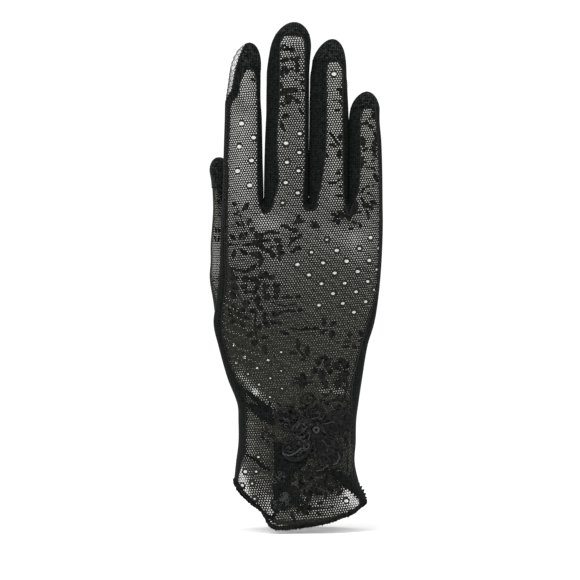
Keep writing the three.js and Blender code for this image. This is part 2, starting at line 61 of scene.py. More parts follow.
def unit(vectors):
    return vectors / np.maximum(np.linalg.norm(vectors, axis=-1, keepdims=True), 1e-9)


def run_length(path):
    """How far along a path each of its points lies."""
    return np.concatenate([[0], np.cumsum(np.linalg.norm(np.diff(path, axis=0), axis=1))])


def beside(path):
    """Direction to the side of a flat path, at each of its points."""
    along = unit(np.gradient(path, axis=0))
    return np.stack([-along[:, 1], along[:, 0]], -1)


def rounded(share, power):
    """Cosine or sine of an angle, bent towards the corners of a squarer section."""
    return np.sign(share) * np.abs(share) ** (2 / power)


# Shapes shared with the CAD part

HAND_POWER = 2.4
FINGER_POWER = 2.2
HAND = table("height left right front back", [
    (0, -28.4, 31.2, 22.5, 21.5), (12, -28.9, 31.6, 22, 21), (21, -29.1, 28.4, 20.5, 20),
    (31, -28.2, 26.2, 19.5, 19), (40, -27.1, 26.7, 19, 18.8), (50, -27.1, 26.9, 18.4, 18.6),
    (58, -27.6, 27.9, 17.4, 18.2), (70, -32.2, 29.7, 15.6, 17.6), (85, -36.4, 32.2, 14.2, 16.8),
    (95, -38.6, 35.2, 13.6, 16), (105, -37.4, 36.9, 13.2, 15.2), (120, -35.8, 38.4, 12.6, 14),
    (138, -35.3, 39.2, 11.2, 12.4), (152, -34.9, 39.2, 9.8, 11),
])
HAND_TOP = 152
HAND_TOP_ROUND = 15

FRILL_TOP = 38
FRILL_FULL = 6
FRILL_LEAN = 0.3
HEM_MIDDLE = 1.4
HEM_HALF_WIDTH = 30.2
HEM = {
    FRONT: table("across height", [
        (-29, 22.3), (-27, 19.8), (-22.5, 14.6), (-18, 10.1), (-15.8, 7.6), (-12.2, 1.8), (-5.8, 0.8),
        (1.6, 1.5), (9.9, 2.8), (18.3, 5.2), (25.7, 8.7), (31.6, 11.6),
    ]),
    BACK: table("across height", [
        (-29, 21.3), (-27, 16.4), (-22.5, 11), (-18, 7.2), (-14, 3.6), (-10, 0.8), (-5.8, 0.1), (1.6, 0.2),
        (9.9, 0.9), (18.3, 2.8), (25.7, 5.4), (31.6, 12),
    ]),
}
FRILL = {
    FRONT: table("across out", [
        (-40, 0), (-30, 0), (-25, -1.5), (-19, -2.8), (-16, 2.6), (-8, 3), (3, 0.8), (12, 2.4), (20, 0.8),
        (30, 0),
    ]),
    BACK: table("across out", [(-30, 0), (-21, 1.6), (-12, -1.2), (-2, 2), (8, -1), (17, 1.8), (28, 0)]),
}

# Slanting folds in the front of the wrist: from, to, width and depth
FOLDS = [((-30, 68), (-11, 50), 3.2, 1.6), ((-25, 37), (-9, 25.5), 2.8, 1.3)]

CURL_FROM = 135
CURL_LENGTH = 100
CURL_DEPTH = 8

FINGER_DEPTH_SHARE = 0.85


def finger_form(tip, round_length, lace_top, rows):
    """A finger's tip height, how long its rounded end is, where its lace ends, and its outline."""
    outline_rows = table("height middle width", rows)
    return {"tip": tip, "round": round_length, "lace_top": lace_top, "rows": outline_rows}


FINGERS = {
    "index": finger_form(225.5, 13, 213.6, [
        (140, -25.3, 18.6), (156, -25.2, 18.4), (172, -25.2, 17.6), (190, -25.12, 16.7),
        (199, -25.28, 15.85), (206, -24.8, 14.9), (213, -24.25, 14.1), (225.5, -22.3, 13.4),
    ]),
    "middle": finger_form(235.2, 13, 229.6, [
        (140, -5.2, 20.1), (160, -5.2, 20.1), (180, -4.9, 19.8), (192, -4.58, 19.35), (199, -4.53, 19.35),
        (206, -4.45, 19.3), (213, -4.3, 19.2), (224, -3, 18.4), (235.2, -1.5, 17.6),
    ]),
    "ring": finger_form(227.2, 12, 217.4, [
        (140, 14.3, 18), (160, 14.3, 17.9), (179, 14.53, 17.83), (189, 14.6, 17.7), (196, 14.53, 17.45),
        (204, 14.43, 16.85), (210, 14.35, 16.4), (214, 14.64, 15.6), (218, 14.8, 15), (226.9, 16.2, 13.8),
    ]),
    "little": finger_form(202.6, 9.4, 195.4, [
        (140, 31.4, 15.4), (162, 31.35, 15.4), (179, 31.25, 14.7), (189, 30.9, 13.8), (196.6, 31.5, 12.9),
        (202.6, 32.2, 12),
    ]),
}

THUMB_TIP = 173
THUMB_ROUND = 7.5
THUMB_SQUARENESS = 2.3
THUMB_LACE_TOP = 159.1
THUMB = table("height across deep half_width half_depth", [
    (74, -19, 7, 9, 7), (84, -24.2, 11, 10.4, 10.8), (96, -28.9, 14.6, 9, 11.4),
    (106, -32.4, 17.6, 7.1, 10.6), (116, -35.4, 20.2, 5.7, 9.8), (124, -36.4, 21.8, 4.3, 9.2),
    (132, -36.6, 22.8, 4.1, 9), (146, -36.1, 24.2, 3.6, 8.8), (153, -36.1, 24.8, 3.6, 8.6),
    (162, -36.4, 25.4, 3.9, 8.4), (167, -36.8, 25.7, 4.3, 8.1), (173, -36.8, 26, 4.3, 7.8),
])

# Seam lines, as seen from the front
THUMB_BAND_EDGE = table("height across", [
    (-10, -27.6), (21, -27.2), (31, -25.4), (36, -23.6), (57.8, -23.5), (63.8, -24.4), (70.3, -28),
    (76.3, -30.5), (85.6, -33.3), (94.8, -34.6), (101.3, -34.2), (113.3, -32.9), (138.3, -33.2),
    (156.8, -32.5), (172, -31.8), (186, -31), (194, -30.7), (197.5, -29.9), (199.5, -27.9), (201.5, -27),
    (205.4, -26.4), (208.5, -25.5), (211.4, -25.2), (213.6, -24.6),
])
INDEX_WRAP_EDGE = table("height across", [
    (195, -35.8), (199, -32.7), (201, -31.4), (203.1, -30.3), (207.7, -29.5), (212.3, -28.6), (217, -27.3),
    (221.6, -25.6), (226, -23.8),
])
INDEX_RIGHT = table("height across", [
    (145.4, -16), (149, -17.6), (156, -18.6), (190, -18.8), (213.6, -19.4),
])
MIDDLE_LEFT = table("height across", [
    (145.4, -16), (146.2, -13.6), (148.5, -11.8), (152.2, -10.6), (156.5, -9.5), (160.6, -8.6), (179, -9.4),
    (199, -8.3), (229.6, -8),
])
MIDDLE_RIGHT = table("height across", [
    (146.8, 6.2), (147.6, 3.8), (149, 2.8), (152, 2.2), (158, 2.5), (168, 3.1), (229.6, 3.2),
])
RING_LEFT = table("height across", [
    (146.8, 6.2), (147.6, 8), (149, 8.9), (152, 9.3), (158.7, 10.9), (172, 12.7), (185, 13.4),
    (217.4, 13.4),
])
RING_RIGHT = table("height across", [(144.3, 23.5), (150, 21.6), (158, 20.9), (217.4, 20.6)])
LITTLE_LEFT = table("height across", [(144.3, 23.5), (149, 25.5), (156, 28), (165, 28.9), (195.4, 28.9)])
LITTLE_BAND_EDGE = table("height across", [
    (-10, 28.6), (16, 27.8), (25, 24.6), (41, 25), (63.8, 24.6), (76.3, 26.8), (98, 32.6), (110.6, 36.2),
    (138, 37.5), (162, 37.4), (188, 36.1), (195.4, 35.7),
])
CROTCHES = [
    ("index_middle", "index", INDEX_RIGHT, "middle", MIDDLE_LEFT, -15.3),
    ("middle_ring", "middle", MIDDLE_RIGHT, "ring", RING_LEFT, 6.2),
    ("ring_little", "ring", RING_RIGHT, "little", LITTLE_LEFT, 23.9),
]

FLOWER = (8.2, 46.5)


# Surface of the glove


def read(rows, column, at, along="height"):
    """Smooth curve through one column of a table."""
    places, values = rows[along], rows[column]
    at = np.clip(at, places[0], places[-1])
    last = len(places) - 1
    lower = np.clip(np.searchsorted(places, at, side="right") - 1, 0, last - 1)
    upper = lower + 1
    span = places[upper] - places[lower]

    def slope(place):
        before, after = np.maximum(place - 1, 0), np.minimum(place + 1, last)
        rise = (values[after] - values[before]) / (places[after] - places[before])
        return span * rise

    t = (at - places[lower]) / span
    rise = t * t * (3 - 2 * t)
    straight = values[lower] * (1 - rise) + values[upper] * rise
    return straight + slope(lower) * t * (1 - t) ** 2 + slope(upper) * t * t * (t - 1)


def ease(start, end, at):
    t = np.clip((at - start) / (end - start), 0, 1)
    return t * t * (3 - 2 * t)


def curl(height):
    return CURL_DEPTH * (np.maximum(height - CURL_FROM, 0) / CURL_LENGTH) ** 2


def rounded_end(end, length, height, power=2):
    """Share of its full size that a rounded end has at a height."""
    into = np.clip((height - end + length) / length, 0, 1)
    return (1 - into**power) ** (1 / power)


def section_depth(share, power):
    """Depth of a rounded section at a share of its half width."""
    return (1 - np.minimum(np.abs(share), 1) ** power) ** (1 / power)


def finger_edges(name, height):
    """Left and right outline of a finger."""
    finger = FINGERS[name]
    half = read(finger["rows"], "width", height) / 2
    half = half * rounded_end(finger["tip"], finger["round"], height)
    middle = read(finger["rows"], "middle", height)
    return middle - half, middle + half


# Heights over which the hand's outline becomes that of the fingers
KNUCKLES = (142, 156)


def outline(height):
    """Left and right outline of the whole glove, without the thumb."""
    above = ease(*KNUCKLES, height)
    left = read(HAND, "left", height) * (1 - above) + finger_edges("index", height)[0] * above
    right = read(HAND, "right", height) * (1 - above) + finger_edges("little", height)[1] * above
    return left, right


def fold_depth(across, height):
    depth = 0
    for (x0, z0), (x1, z1), width, deep in FOLDS:
        run_x, run_z = x1 - x0, z1 - z0
        length = math.hypot(run_x, run_z)
        aside = ((across - x0) * run_z - (height - z0) * run_x) / length
        share = ((across - x0) * run_x + (height - z0) * run_z) / length**2
        ends = np.sin(np.pi * np.clip(share, 0, 1))
        depth = depth + deep * ends * np.exp(-((aside / width) ** 2))
    return depth


def hand_depth(across, height, side):
    left, right = outline(height)
    share = (2 * across - left - right) / (right - left)
    frill = 1 - ease(FRILL_FULL, FRILL_TOP, height)
    wave = frill * read(FRILL[side], "out", across - FRILL_LEAN * height, "across")
    reach = read(HAND, "front" if side == FRONT else "back", height) + wave
    if side == FRONT:
        reach = reach - fold_depth(across, height)
    top = rounded_end(HAND_TOP, HAND_TOP_ROUND, height)
    return section_depth(share, HAND_POWER) * reach * top


# Fingers are fuller where they leave the knuckles, from one height to the other
FINGER_ROOT = (142, 172)
FINGER_ROOT_FULLER = 0.24


def finger_depth(name, across, height):
    left, right = finger_edges(name, height)
    half = np.maximum(right - left, 1e-6) / 2
    share = (across - (left + right) / 2) / half
    fuller = 1 + FINGER_ROOT_FULLER * (1 - ease(*FINGER_ROOT, height))
    deep = section_depth(share, FINGER_POWER) * half * FINGER_DEPTH_SHARE * fuller
    return np.where(np.abs(share) < 1, deep, (1 - np.abs(share)) * half)


# Depth over which the hand and a finger blend, as a share of their own depth and at most
BLEND_SHARE = 0.5
BLEND_MOST = 3.5
# Fingers count from here up, and below it they are this deep under the hand's surface
FINGERS_FROM = KNUCKLES[0] - 2
NO_FINGER = -50


def surface_depth(across, height, side):
    """How far the surface stands from the side seams."""
    depth = hand_depth(across, height, side)
    for name in FINGERS:
        finger = np.where(height > FINGERS_FROM, finger_depth(name, across, height), NO_FINGER)
        top = np.maximum(depth, finger)
        reach = np.clip(BLEND_SHARE * top, 1e-6, BLEND_MOST)
        near = np.maximum(reach - np.abs(depth - finger), 0)
        depth = top + near * near / (4 * reach)
    return np.maximum(depth, 0)


# Step over which the surface's slope is measured, and the steepest slope taken
STEP = 0.05
STEEPEST = 12


def on_surface(across, height, side, lift=0.0):
    """Points on the back of the glove (FRONT, towards the camera) or its palm (BACK)."""
    across, height = np.broadcast_arrays(np.asarray(across, float), np.asarray(height, float))

    def deep(dx, dz):
        z = height + dz
        return curl(z) + side * surface_depth(across + dx, z, side)

    y = deep(0, 0)
    slope_x = np.clip((deep(STEP, 0) - deep(-STEP, 0)) / (2 * STEP), -STEEPEST, STEEPEST)
    slope_z = np.clip((deep(0, STEP) - deep(0, -STEP)) / (2 * STEP), -STEEPEST, STEEPEST)
    length = np.sqrt(1 + slope_x**2 + slope_z**2)
    lift = side * lift / length
    return np.stack([across - slope_x * lift, y + lift, height - slope_z * lift], -1)


def on_thumb(angle, height, lift=0.0):
    end = rounded_end(THUMB_TIP, THUMB_ROUND, height, THUMB_SQUARENESS)
    across = read(THUMB, "across", height)
    deep = read(THUMB, "deep", height)
    half_width = (read(THUMB, "half_width", height) + lift) * end
    half_depth = (read(THUMB, "half_depth", height) + lift) * end
    x, y = across + np.cos(angle) * half_width, deep + np.sin(angle) * half_depth
    return np.stack([x, y, height + 0 * angle], -1)


def hem_point(angle, above=0.0, lift=0.0):
    """Point of the cuff's edge at an angle round the glove, and above along the cloth."""
    share = rounded(np.cos(angle), HAND_POWER)
    at_front = np.sin(angle) < 0
    along = HEM_MIDDLE + HEM_HALF_WIDTH * share
    front, back = (read(HEM[side], "height", along, "across") for side in (FRONT, BACK))
    height = above + np.where(at_front, front, back)
    left, right = outline(height)
    across = (left + right) / 2 + share * (right - left) / 2
    front = on_surface(across, height, FRONT, lift)
    back = on_surface(across, height, BACK, lift)
    return np.where(at_front[:, None], front, back)


# Mesh making


class Shape:
    """Gathers points and faces for one mesh."""

    def __init__(self):
        self.points = []
        self.faces = []
        self.count = 0

    def add(self, points, faces):
        points = np.asarray(points, float).reshape(-1, 3)
        for face in faces:
            self.faces.append(np.asarray(face) + self.count)
        self.points.append(points)
        self.count += len(points)

    def grid(self, points, around=False, along=False):
        """Quads through rows of points. around joins each row's ends, along the last row to the first."""
        rows, columns = points.shape[:2]
        number = np.arange(rows * columns).reshape(rows, columns)
        if around:
            number = np.concatenate([number, number[:, :1]], 1)
        if along:
            number = np.concatenate([number, number[:1]], 0)
        quads = np.stack([number[:-1, :-1], number[:-1, 1:], number[1:, 1:], number[1:, :-1]], -1)
        self.add(points, [quads.reshape(-1, 4)])

    def tube(self, path, radius, sides=6, closed=False, flat=1.0, normals=None):
        """Round cord along a path. flat is its thickness as a share of its width."""
        path = np.asarray(path, float)
        ends = np.roll(path, -1, 0) - np.roll(path, 1, 0)
        along = unit(ends if closed else np.gradient(path, axis=0))
        if normals is None:
            normals = np.broadcast_to([0.0, -1.0, 0.0], path.shape)
        out = normals - along * (normals * along).sum(1, keepdims=True)
        weak = np.linalg.norm(out, axis=1) < 1e-3
        out[weak] = np.cross(along[weak], [1.0, 0.0, 0.0])
        out = unit(out)
        aside = np.cross(along, out)
        turn = turns(sides)
        radius = np.broadcast_to(radius, len(path))[:, None, None]
        across = radius * np.cos(turn)[None, :, None] * aside[:, None]
        up = radius * flat * np.sin(turn)[None, :, None] * out[:, None]
        self.grid(path[:, None] + across + up, around=True, along=closed)

    def make(self, name, material):
        points = np.concatenate(self.points) * MM
        faces = [tuple(row) for block in self.faces for row in block.tolist()]
        mesh = bpy.data.meshes.new(name)
        mesh.from_pydata(points.tolist(), [], faces)
        mesh.polygons.foreach_set("use_smooth", [True] * len(mesh.polygons))
        mesh.materials.append(material)
        mesh.update()
        piece = bpy.data.objects.new(name, mesh)
        bpy.context.scene.collection.objects.link(piece)
        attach(piece, "root")
        return piece


# Materials


class Finish:
    """A procedural material: textures on the glove's own coordinates, their tones and relief."""

    def __init__(self, name, base, roughness, sheen, specular, scale=1):
        self.material = bpy.data.materials.new(name)
        self.material.use_nodes = True
        self.nodes, self.links = self.material.node_tree.nodes, self.material.node_tree.links
        self.shader = self.nodes["Principled BSDF"]
        values = {
            "Base Color": (*base, 1),
            "Roughness": roughness,
            "Sheen Weight": sheen,
            "Sheen Roughness": 0.5,
            "Specular IOR Level": specular,
        }
        for key, value in values.items():
            self.shader.inputs[key].default_value = value
        place = self.node("TexCoord").outputs["Object"]
        self.place = self.node("Mapping", {"Scale": (scale,) * 3, "Vector": place}).outputs[0]

    def node(self, kind, inputs=(), **settings):
        """Adds a node. Inputs are values or other nodes' outputs."""
        node = self.nodes.new(f"ShaderNode{kind}")
        for key, value in settings.items():
            setattr(node, key, value)
        for key, value in dict(inputs).items():
            if isinstance(value, bpy.types.NodeSocket):
                self.links.new(value, node.inputs[key])
            else:
                node.inputs[key].default_value = value
        return node

    def texture(self, kind, inputs, **settings):
        return self.node(f"Tex{kind}", {"Vector": self.place, **inputs}, **settings).outputs

    def noise(self, scale, detail):
        return self.texture("Noise", {"Scale": scale, "Detail": detail})["Fac"]

    def wave(self, way, scale, distortion=0.0, detail_scale=1.0):
        inputs = {"Scale": scale, "Distortion": distortion, "Detail Scale": detail_scale}
        return self.texture("Wave", inputs, bands_direction=way)["Fac"]

    def math(self, operation, *values):
        return self.node("Math", enumerate(values), operation=operation).outputs[0]

    def tones(self, pattern, dark, light, start=0.0, end=1.0):
        ramp = self.node("ValToRGB", {"Fac": pattern})
        for element, place, colour in zip(ramp.color_ramp.elements, (start, end), (dark, light)):
            element.position = place
            element.color = (*colour, 1)
        self.links.new(ramp.outputs["Color"], self.shader.inputs["Base Color"])

    def relief(self, pattern, strength, distance):
        inputs = {"Strength": strength, "Distance": distance, "Height": pattern}
        self.links.new(self.node("Bump", inputs).outputs["Normal"], self.shader.inputs["Normal"])
        return self.material


def grey(value):
    return (value, value, value)


def net_material():
    finish = Finish("net_thread", grey(0.008), 0.75, 0.02, 0.12, scale=900)
    noise = finish.noise(1.6, 4)
    finish.tones(noise, (0.001, 0.001, 0.0008), (0.0166, 0.0172, 0.0122), 0.34, 0.66)
    return finish.relief(noise, 0.5, 0.00008)


def knit_material(name, dark, light, start, end):
    """Fine knitted cloth: wales across, courses along, and fuzz."""
    finish = Finish(name, light, 0.85, 0.01, 0.04)
    wales = finish.wave("X", 330, 3, 2.0)
    courses = finish.wave("Z", 420, 3)
    rows = finish.math("MULTIPLY_ADD", wales, 0.7, courses)
    mixed = finish.math("MULTIPLY_ADD", rows, 0.22, finish.noise(900, 4))
    finish.tones(mixed, dark, light, start, end)
    return finish.relief(mixed, 0.8, 0.0002)


def cord_material():
    finish = Finish("cord", grey(0.006), 0.6, 0.02, 0.1)
    twist = finish.wave("DIAGONAL", 500, 2)
    finish.tones(twist, grey(0.003), (0.011, 0.011, 0.0108))
    return finish.relief(twist, 0.6, 0.0001)


def thread_material():
    """Curled thread of the flower, uneven in tone."""
    finish = Finish("curled_thread", grey(0.012), 0.6, 0.02, 0.15)
    noise = finish.noise(500, 3)
    finish.tones(noise, grey(0.0008), (0.0226, 0.0246, 0.0238), 0.38, 0.66)
    return finish.relief(noise, 0.5, 0.0001)


def stitch_material():
    """Dense satin stitches of the motifs and petals."""
    finish = Finish("lace_stitches", grey(0.005), 0.75, 0.01, 0.05)
    finish.tones(finish.noise(760, 3), grey(0.0006), (0.0099, 0.0108, 0.0099), 0.36, 0.66)
    return finish.relief(finish.wave("Z", 700, 6), 0.6, 0.00012)


def petal_material():
    """Knotted lace: small raised rosettes, with painted shade darkening the gaps between them."""
    finish = Finish("knotted_lace_painted_shade", grey(0.006), 0.8, 0.01, 0.03)
    cells = finish.texture("Voronoi", {"Scale": 900}, feature="DISTANCE_TO_EDGE")["Distance"]
    share = finish.math("MULTIPLY", cells, finish.noise(420, 3))
    # Painted shade: the tone follows the rosettes' relief, darkest in the gaps between them, and the noise
    # varies it at random.
    finish.tones(share, grey(0.0005), (0.0188, 0.0206, 0.0199), 0.03, 0.32)
    return finish.relief(cells, 0.8, 0.0004)


def silk_material():
    """Twisted thread of the flower's cords, lighter grey than the other black threads: partly painted sheen
    of the satin thread.
    """
    finish = Finish("silk_cord_painted_sheen", grey(0.04), 0.5, 0.03, 0.3)
    twist = finish.wave("DIAGONAL", 420)
    # Painted sheen: the light tone stands partly for the satin's shine; the twist stripes are the thread's
    # own.
    finish.tones(twist, grey(0.006), (0.043, 0.046, 0.045))
    return finish.relief(twist, 0.7, 0.00012)


NET = net_material()
KNIT = knit_material("knit", (0.0006, 0.0007, 0.0008), (0.0088, 0.0104, 0.0098), 0.54, 0.94)
# The finger and thumb ends use the bands' knit with a lighter, more mottled tone: painted sheen on the
# rounded ends.
KNIT_END_PAINTED_SHEEN = knit_material("knit_end_painted_sheen", (0.0006, 0.0006, 0.0007), (0.0245, 0.027, 0.0266), 0.64, 0.92)
CORD = cord_material()
MOTIF = stitch_material()
KNOTTED_PAINTED_SHADE = petal_material()
THREAD = thread_material()
SILK_PAINTED_SHEEN = silk_material()


# Net


def arc_table(power, depth_share):
    """Share of the half width by share of the arc, for a rounded section, and the half arc's length."""
    turn = np.linspace(0, np.pi / 2, 400)
    x = np.sin(turn) ** (2 / power)
    arc = run_length(np.stack([x, depth_share * np.cos(turn) ** (2 / power)], -1))
    return arc / arc[-1], x, arc[-1]


# The hand's mean depth to each side, as a share of its half width
HAND_DEPTH_SHARE = 0.42
ARC_SHARE, ARC_ACROSS, ARC_LENGTH = arc_table(HAND_POWER, HAND_DEPTH_SHARE)


def unroll(along, height):
    """Place across of a point that far along the cloth from the middle line."""
    left, right = outline(height)
    half = (right - left) / 2
    share = np.clip(along / (half * ARC_LENGTH), -1, 1)
    bent = np.interp(np.abs(share), ARC_SHARE, ARC_ACROSS)
    return (left + right) / 2 + half * np.sign(share) * bent


def inside(points, polygon):
    """Which points lie inside a closed outline."""
    x, z = points[..., 0], points[..., 1]
    hit = np.zeros(x.shape, bool)
    for (x0, z0), (x1, z1) in zip(polygon, np.roll(polygon, -1, 0)):
        if z0 != z1:
            cross = x0 + (z - z0) * (x1 - x0) / (z1 - z0)
            hit ^= ((z0 > z) != (z1 > z)) & (x < cross)
    return hit


# More rows or columns of cells than any net here has to each side
MOST_CELLS = 2048


class Net:
    """Staggered net of six-sided holes, tilted by some degrees."""

    def __init__(self, pitch, hole, ridge, tilt=0):
        self.across, self.along = pitch
        self.hole = hole
        self.ridge = ridge
        tilt = math.radians(tilt)
        self.turn = np.array([[math.cos(tilt), math.sin(tilt)], [-math.sin(tilt), math.cos(tilt)]])
        half = self.across / 2
        self.peak = (half**2 + self.along**2) / (2 * self.along)
        self.shoulder = self.along - self.peak

    def cells(self, low, high):
        """Half-pitch and row numbers of every cell in a rectangle of cloth."""
        ends = np.array([(x, z) for x in (low[0], high[0]) for z in (low[1], high[1])]) @ self.turn.T
        pitch = np.array([self.across / 2, self.along])
        first = np.floor(ends.min(0) / pitch).astype(int)
        last = np.ceil(ends.max(0) / pitch).astype(int)
        column, row = np.meshgrid(*(np.arange(a, b + 1) for a, b in zip(first, last)))
        even = (column + row) % 2 == 0
        return np.stack([column[even], row[even]], -1)

    def place(self, cells, aside=0.0, up=0.0):
        """Place on the cloth of points beside the middles of cells."""
        x, z = cells[..., 0] * self.across / 2 + aside, cells[..., 1] * self.along + up
        return np.stack([x, z], -1) @ self.turn

    def corners(self, cells):
        """Places and numbers of the six corners of each cell. Cells share corners."""
        half = self.across / 2
        # Beside the middle, above it, and the cell and end whose number the corner takes
        corner_table = [
            (half, -self.shoulder, 1, -1, 1),
            (half, self.shoulder, 1, 1, 0),
            (0, self.peak, 0, 0, 1),
            (-half, self.shoulder, -1, 1, 0),
            (-half, -self.shoulder, -1, -1, 1),
            (0, -self.peak, 0, 0, 0),
        ]
        places, numbers = [], []
        for aside, up, column, row, end in corner_table:
            places.append(self.place(cells, aside, up))
            a, j = cells[:, 0] + column + MOST_CELLS, cells[:, 1] + row + MOST_CELLS
            numbers.append((j * 4 * MOST_CELLS + a) * 2 + end)
        return np.stack(places, 1), np.stack(numbers, 1)

    def build(self, shape, cells, surface, eyelets=()):
        """Adds the net to a shape. surface(place, lift) gives points in space."""
        cells, rims = self.cut_eyelets(cells, eyelets)
        places, numbers = self.corners(cells)
        _, first, shared = np.unique(numbers.ravel(), return_index=True, return_inverse=True)
        shared = shared.reshape(-1, 6)
        corner_places = places.reshape(-1, 2)[first]
        middles = self.place(cells)
        size = self.hole(middles) if callable(self.hole) else self.hole
        size = np.broadcast_to(size, len(middles))[:, None, None]
        holes = middles[:, None] + size * (places - middles[:, None])
        outer = surface(corner_places, np.full(len(corner_places), self.ridge))
        inner = surface(holes.reshape(-1, 2), np.zeros(holes.size // 2))
        inner_number = len(outer) + np.arange(len(inner)).reshape(-1, 6)
        step = np.roll(np.arange(6), -1)
        quads = np.stack([shared, shared[:, step], inner_number[:, step], inner_number], -1)
        shape.add(np.concatenate([outer, inner]), [quads.reshape(-1, 4)])
        for rim_places in rims:
            lifts = np.repeat([self.ridge, EYELET_LIFT, EYELET_LIFT, 0.0], len(rim_places[0]))
            rim = surface(np.concatenate(rim_places), lifts)
            shape.grid(rim.reshape(4, -1, 3), around=True)

    def cut_eyelets(self, cells, eyelets):
        """Takes the seven cells at each eyelet out, and gives the rings of places that fill the room."""
        known = {tuple(cell) for cell in cells.tolist()}
        rims = []
        middles = self.place(cells)
        for eyelet, share in eyelets:
            nearest = int(np.argmin(np.linalg.norm(middles - eyelet, axis=1)))
            column, row = cells[nearest].tolist()
            cluster = [(column + a, row + j) for a, j in EYELET_CELLS]
            if not known.issuperset(cluster):
                continue
            known.difference_update(cluster)
            places, numbers = self.corners(np.array(cluster))
            corners = zip(numbers.ravel().tolist(), places.reshape(-1, 2))
            border = {number: place for number, place in corners if number not in numbers[0]}
            middle = self.place(np.array(cluster[0]))
            border = np.array(list(border.values())) - middle
            turn = np.arctan2(border[:, 1], border[:, 0])
            border, turn = border[np.argsort(turn)], np.sort(turn)
            centre = middle + EYELET_SHIFT * (eyelet - middle)
            sizes = np.array([EYELET_RIM, EYELET_RIM_INNER, EYELET_HOLE])
            rims.append([border + middle, *(centre + direction(turn) * size * share for size in sizes)])
        return np.array(sorted(known)), rims


# An eyelet takes the room of a cell and the six round it, and lies this share of the way to its true place
EYELET_CELLS = [(0, 0), (2, 0), (1, 1), (-1, 1), (-2, 0), (-1, -1), (1, -1)]
EYELET_SHIFT = 0.55
# Half sizes across and along of its rim and its hole
EYELET_RIM = (1.5, 1.15)
EYELET_RIM_INNER = (1.3, 0.93)
EYELET_HOLE = (1.12, 0.76)
EYELET_LIFT = 0.28

# How far the net reaches under its seams, and how far it lies below the bands
NET_UNDER = 0.9
NET_LIFT = -0.15

# Millimetres per pixel, and the pixels of the middle line and of the lowest hem
PHOTO_MM = 0.4626
PHOTO_MIDDLE = 297.5
PHOTO_HEM = 529


def from_photo(points):
    """Places in millimetres of pixels in the photograph."""
    points = np.asarray(points, float)
    across = (points[..., 0] - PHOTO_MIDDLE) * PHOTO_MM
    return np.stack([across, (PHOTO_HEM - points[..., 1]) * PHOTO_MM], -1)


CAMERA_DISTANCE = 1600
PHOTO_SIZE = 580


def front_place(points):
    """Places on the front of the glove that the camera sees at pixels in the photograph."""
    seen = from_photo(points)
    middle = from_photo((PHOTO_SIZE / 2, PHOTO_SIZE / 2))
    place = seen
    for _ in range(3):
        deep = on_surface(place[..., 0], place[..., 1], FRONT)[..., 1]
        place = middle + (seen - middle) * (1 + deep / CAMERA_DISTANCE)[..., None]
    return place


def line(rows, aside=0.0, start=None, end=None):
    """Points of a seam line, moved sideways, cut off at two heights."""
    low = rows["height"][0] if start is None else start
    high = rows["height"][-1] if end is None else end
    heights = np.linspace(low, high, max(int((high - low) / 2), 2))
    return np.stack([read(rows, "across", heights) + aside, heights], -1)


# The rolled edge's radius where it hangs lowest and where it rises, between two heights
HEM_THICK, HEM_THIN = 1.35, 0.95
HEM_RISE = (1.5, 5.5)
HEM_LIFT = -0.1


def hem_path(turn):
    """Middle line of the rolled edge and its radius."""
    radius = HEM_THICK + (HEM_THIN - HEM_THICK) * ease(*HEM_RISE, hem_point(turn)[:, 2])
    return hem_point(turn, radius, HEM_LIFT), radius


def hem_height_at(across, side):
    """Height of the cuff's edge, as seen from the front."""
    turn = np.linspace(np.pi, 0, 160)[1:-1] * (1 if side == BACK else -1)
    hem = hem_path(turn)[0]
    hem = hem[np.argsort(hem[:, 0])]
    return np.interp(across, hem[:, 0], hem[:, 2])


def above_hem(places, side):
    return places[..., 1] > hem_height_at(places[..., 0], side)


def panel(left, right):
    """Outline of a lace panel's hand and finger strips between two side lines, reaching under the seams."""
    strips = []
    for _, _, right_edge, _, left_edge, _ in CROTCHES:
        strips += [line(right_edge, NET_UNDER)[::-1], line(left_edge, -NET_UNDER)]
    return np.concatenate([left, *strips, right[::-1]])


# Beyond the glove's sides
FAR = 60
# Top of the net, and where the see-through mesh wraps round the index finger's side
NET_TOP = 240
WRAP_FROM = 195
WRAP_TOP = 224.6
back_outline = panel(line(THUMB_BAND_EDGE, -NET_UNDER), line(LITTLE_BAND_EDGE, NET_UNDER))
palm_outline = panel(
    np.array([(-FAR, -10), (-FAR, FINGERS["index"]["lace_top"])]),
    np.array([(FAR, -10), (FAR, FINGERS["little"]["lace_top"])]),
)
index_top = FINGERS["index"]["lace_top"]
wrap_line = line(INDEX_WRAP_EDGE, NET_UNDER, WRAP_FROM, WRAP_TOP)
wrap_outline = np.concatenate([[(-FAR, WRAP_FROM)], wrap_line, [(-FAR, WRAP_TOP)]])


def cloth_to_front(places):
    """Across and height of places on the unrolled cloth."""
    return np.stack([unroll(places[..., 0], places[..., 1]), places[..., 1]], -1)


def on_cloth(side):
    def surface(places, lift):
        flat = cloth_to_front(places)
        return on_surface(flat[..., 0], flat[..., 1], side, lift + NET_LIFT)

    return surface


def roll_out(points):
    """Places on the unrolled cloth of points seen from the front."""
    left, right = outline(points[..., 1])
    half = (right - left) / 2
    share = np.clip((points[..., 0] - (left + right) / 2) / half, -1, 1)
    arc = np.interp(np.abs(share), ARC_ACROSS, ARC_SHARE)
    along = np.sign(share) * arc * half * ARC_LENGTH
    return np.stack([along, points[..., 1]], -1)


